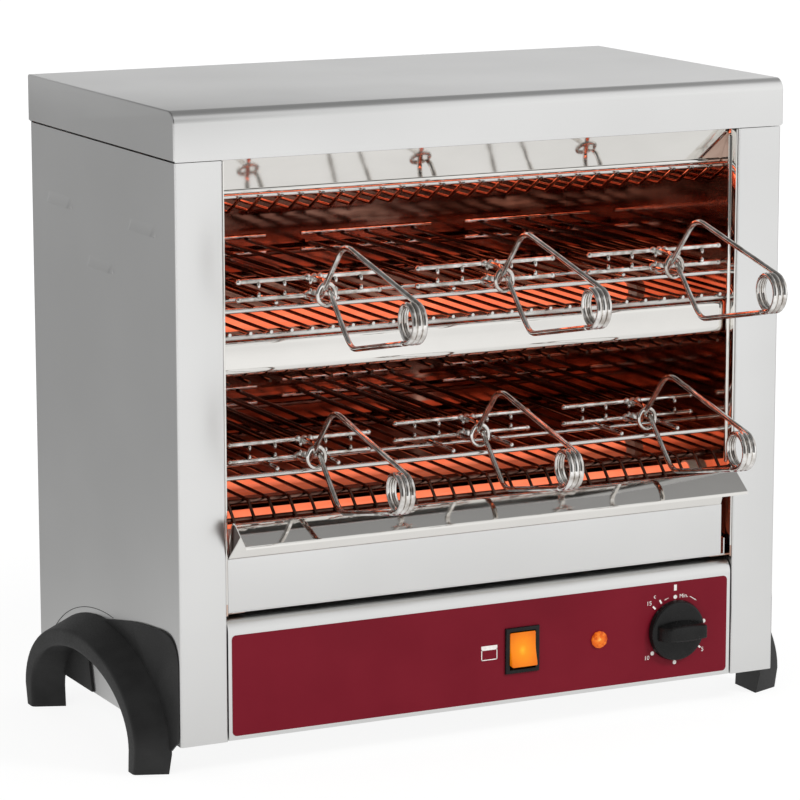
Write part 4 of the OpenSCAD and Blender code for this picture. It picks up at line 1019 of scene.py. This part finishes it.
def makeRing():  # the flattened ring that guides the two arms
    deselect()
    middle = tongPoint(*tong["ring"])
    bpy.ops.mesh.primitive_torus_add(
        major_radius=tong["ringTall"] * mm, minor_radius=tong["ringWire"] / 2 * mm,
        major_segments=40, minor_segments=14, rotation=(pi / 2, 0, 0), location=middle)
    ring = bpy.context.object
    applyMoves()
    editMode(ring)
    pickAll()
    bpy.ops.transform.resize(value=(tong["ringWide"] / tong["ringTall"], 1, 1),
        center_override=middle)
    objectMode()
    return ring


def makeWelds(high, size):
    return [makeWeld("weld", tongPoint(x, out, high + up), [r * size for r in reach])
        for x, out, up, *reach in tong["welds"]]


def makeTongs():
    armX, high, bend = tong["armX"], tong["apart"] / 2, tong["bend"] * mm
    stops = (tong["knuckle"], tong["bar"] / 2 + tong["endGap"])
    corner = tongPoint(armX, tong["cornerReach"], -tong["cornerDrop"])
    apex = tongPoint(-armX, tong["cornerReach"], tong["apexRise"])
    start = coilPoint(0)
    lead = (start - corner).normalized()
    meet = tong["lead"] * tong["handle"] * mm
    coil = [start - lead * meet]
    coil += [coilPoint(i / tong["coilSteps"]) for i in range(tong["coilSteps"] + 1)]
    lowEnd = [tongPoint(-armX, reach, -high) for reach in stops]
    spring = makeWire("springArm", coil[:-1] + bentPath([coil[-1], apex] + lowEnd, bend),
        tong["handle"])
    root = start - lead * (meet + tong["leadGap"] * mm)
    highEnd = [tongPoint(armX, reach, high) for reach in stops]
    lower = makeWire("lowerArm", bentPath([root, corner] + highEnd, bend), tong["handle"])
    lower = joinPieces("lowerArm", [lower, makeRing()] + makeWelds(high, tong["highWelds"]))
    spring = joinPieces("springArm", [spring] + makeWelds(-high, 1))
    for piece in (lower, spring):
        setFinishes(piece, (chrome, welded), lambda centre: centre.y > -tong["weldTo"] * mm)
    # each model with the body that it rides on
    models = {"bottom_jaw": (makeJaw("bottomJaw", -1), "_tong"), "spring_arm": (spring, "_tong"),
        "top_jaw": (makeJaw("topJaw", 1), "_top_jaw"), "lower_arm": (lower, "_top_jaw")}
    hinges = {joint["name"]: joint.get("pos_m") for joint in frame["joints"]}
    names = [level + place for level in ("upper", "lower") for place in ("_left", "_mid", "_right")]
    for name in names:
        place = Vector(hinges[name + "_tong_squeeze"])
        place += tongPoint(0, -tong["coilReach"], tong["coilDrop"])
        for kind, (model, body) in models.items():
            title = name.replace("_", "") + kind.title().replace("_", "")
            piece = copyPiece(model, title, place)
            finishPiece(piece, None, [name + "_tong_" + kind], name + body)
    for model, body in models.values():
        remove(model)


# tones of grey along a value, and lamps with their place, size in m and watts
stage = dict(floor=14, shadow=0.2, shadowReach=(0.45, 1.2), fill=0.62, paper=1.085,
    floorDepth=(1 / 3, 2 / 3), floorTone=[(0.067, 1.1), (0.367, 1.06), (0.53, 0.9), (0.6, 0.86),
    (0.65, 0.74), (0.7, 0.6), (0.783, 0.44), (0.867, 0.36)], floorSpread=(0.25, 0.5),
    floorAcross=[(0.4, 1.0), (0.55, 0.97), (0.7, 0.88), (0.85, 0.82)], skyLean=0.205, skyLift=0.455,
    sky=[(0.38, 0.98), (0.66, 0.9), (0.785, 0.76), (0.85, 0.34), (0.96, 0.27)],
    skySides=[(0.1, 0.38), (0.3, 0.41), (0.6, 0.85), (0.723, 1.0), (0.9, 1.08)],
    darkSide=(-0.4, -0.85, 0.34), darkFrom=0.76, darkTo=0.95, dark=0.22, lampAim=(0, 0, 0.2),
    lamps=[("keyLamp", (1.5, -1.9, 1.9), 0.6, 34), ("fillLamp", (-1.9, -1.4, 1.3), 1.6, 10)])


def toneRamp(tree, source, stops):
    return colourRamp(tree, source, [(place, (tone, tone, tone, 1)) for place, tone in stops])


def seenRays(tree, rays):  # what the camera sees, straight or through something clear
    return calc(tree, "MAXIMUM", rays["Is Camera Ray"], rays["Is Transmission Ray"])


def makeFloor():
    deselect()
    bpy.ops.mesh.primitive_plane_add(size=stage["floor"], location=(0, 0, 0))
    floor = named("studioFloor")
    material = bpy.data.materials.new("paleFloor")
    material.use_nodes = True
    tree = material.node_tree
    tree.nodes.clear()
    rays = addNode(tree, "ShaderNodeLightPath").outputs
    place = objectPlace(tree)
    axes = splitAxes(tree, place)
    # from 2 m in front to 1 m behind, and from 2 m on the left to 2 m on the right
    depth = calc(tree, "MULTIPLY_ADD", axes["Y"], *stage["floorDepth"])
    spread = calc(tree, "MULTIPLY_ADD", axes["X"], *stage["floorSpread"])
    tone = calc(tree, "MULTIPLY", toneRamp(tree, depth, stage["floorTone"]),
        toneRamp(tree, spread, stage["floorAcross"]))
    seen = seenRays(tree, rays)
    glow = addNode(tree, "ShaderNodeEmission", {
        "Strength": blend(tree, seen, tone, stage["paper"])})
    paper = addNode(tree, "ShaderNodeBsdfDiffuse", {"Color": lin("#F2F2F0")})
    # the shadow shows near the toaster and fades away from it
    shown = calc(tree, "MAXIMUM", seen, rays["Is Glossy Ray"])
    away = addNode(tree, "ShaderNodeVectorMath", {"operation": "LENGTH", 0: place}).outputs["Value"]
    fade = rescale(tree, away, *stage["shadowReach"], 1 - stage["shadow"])
    mixed = addNode(tree, "ShaderNodeMixShader", {
        0: calc(tree, "MULTIPLY", shown, fade), 1: paper.outputs["BSDF"],
        2: glow.outputs["Emission"]})
    addNode(tree, "ShaderNodeOutputMaterial", {"Surface": mixed.outputs["Shader"]})
    floor.data.materials.append(material)


def makeWorld():
    world = bpy.data.worlds.new("studio")
    bpy.context.scene.world = world
    world.use_nodes = True
    tree = world.node_tree
    tree.nodes.clear()
    rays = addNode(tree, "ShaderNodeLightPath").outputs
    aim = addNode(tree, "ShaderNodeTexCoord").outputs["Generated"]
    axes = splitAxes(tree, aim)
    # bright walls and a dark ceiling that leans to the back, as a studio has
    lean = calc(tree, "MULTIPLY_ADD", axes["Y"], stage["skyLean"], 0.5)
    lift = calc(tree, "MULTIPLY_ADD", axes["Z"], stage["skyLift"], lean)
    across = calc(tree, "MULTIPLY_ADD", axes["X"], 0.5, 0.5)
    walls = calc(tree, "MULTIPLY", toneRamp(tree, lift, stage["sky"]),
        toneRamp(tree, across, stage["skySides"]))
    # an unlit part of the studio in front on the left
    facing = addNode(tree, "ShaderNodeVectorMath", {
        "operation": "DOT_PRODUCT", 0: aim, 1: stage["darkSide"]}).outputs["Value"]
    unlit = rescale(tree, facing, stage["darkFrom"], stage["darkTo"], 1.0, stage["dark"],
        "SMOOTHSTEP")
    mirrored = calc(tree, "MULTIPLY", walls, unlit)
    soft = blend(tree, rays["Is Glossy Ray"], stage["fill"], mirrored)
    level = blend(tree, seenRays(tree, rays), soft, 1.0)
    sky = addNode(tree, "ShaderNodeBackground", {"Color": (1, 1, 1, 1), "Strength": level})
    addNode(tree, "ShaderNodeOutputWorld", {"Surface": sky.outputs["Background"]})


def placeObject(name, data, place, turn):
    piece = bpy.data.objects.new(name, data)
    bpy.context.scene.collection.objects.link(piece)
    piece.location, piece.rotation_euler = place, turn
    return piece


def makeLamps():
    for name, place, size, watts in stage["lamps"]:
        data = bpy.data.lights.new(name, "AREA")
        data.size = size
        data.energy = watts
        aim = Vector(stage["lampAim"]) - Vector(place)
        light = placeObject(name, data, place, aim.to_track_quat("-Z", "Y").to_euler())
        light.visible_glossy = False


# the focal length was measured in pixels of the photograph
camera = dict(place=(-1.1388, -2.2286, 0.70827), tilt=79.07, turn=-26.29, roll=0.06, focal=3747,
    pixels=800, sensor=36)


def makeCamera():
    data = bpy.data.cameras.new("photoCamera")
    data.sensor_width = camera["sensor"]
    data.lens = camera["focal"] / camera["pixels"] * camera["sensor"]
    turn = [radians(camera[key]) for key in ("tilt", "roll", "turn")]
    bpy.context.scene.camera = placeObject("photoCamera", data, camera["place"], turn)


for make in (
        makeLid, makeSidePanels, makeControlPanel, makeFascia, makeBaffle, makeEdging, makeRacks,
        makeTray, makeSwitch, makeRocker, makeLamp, makeKnob, makeDialPrint, makeFeet, makeTongs,
        makeFloor, makeWorld, makeLamps, makeCamera):
    make()
    print(make.__name__, "done")
bpy.context.scene.view_settings.view_transform = "Standard"
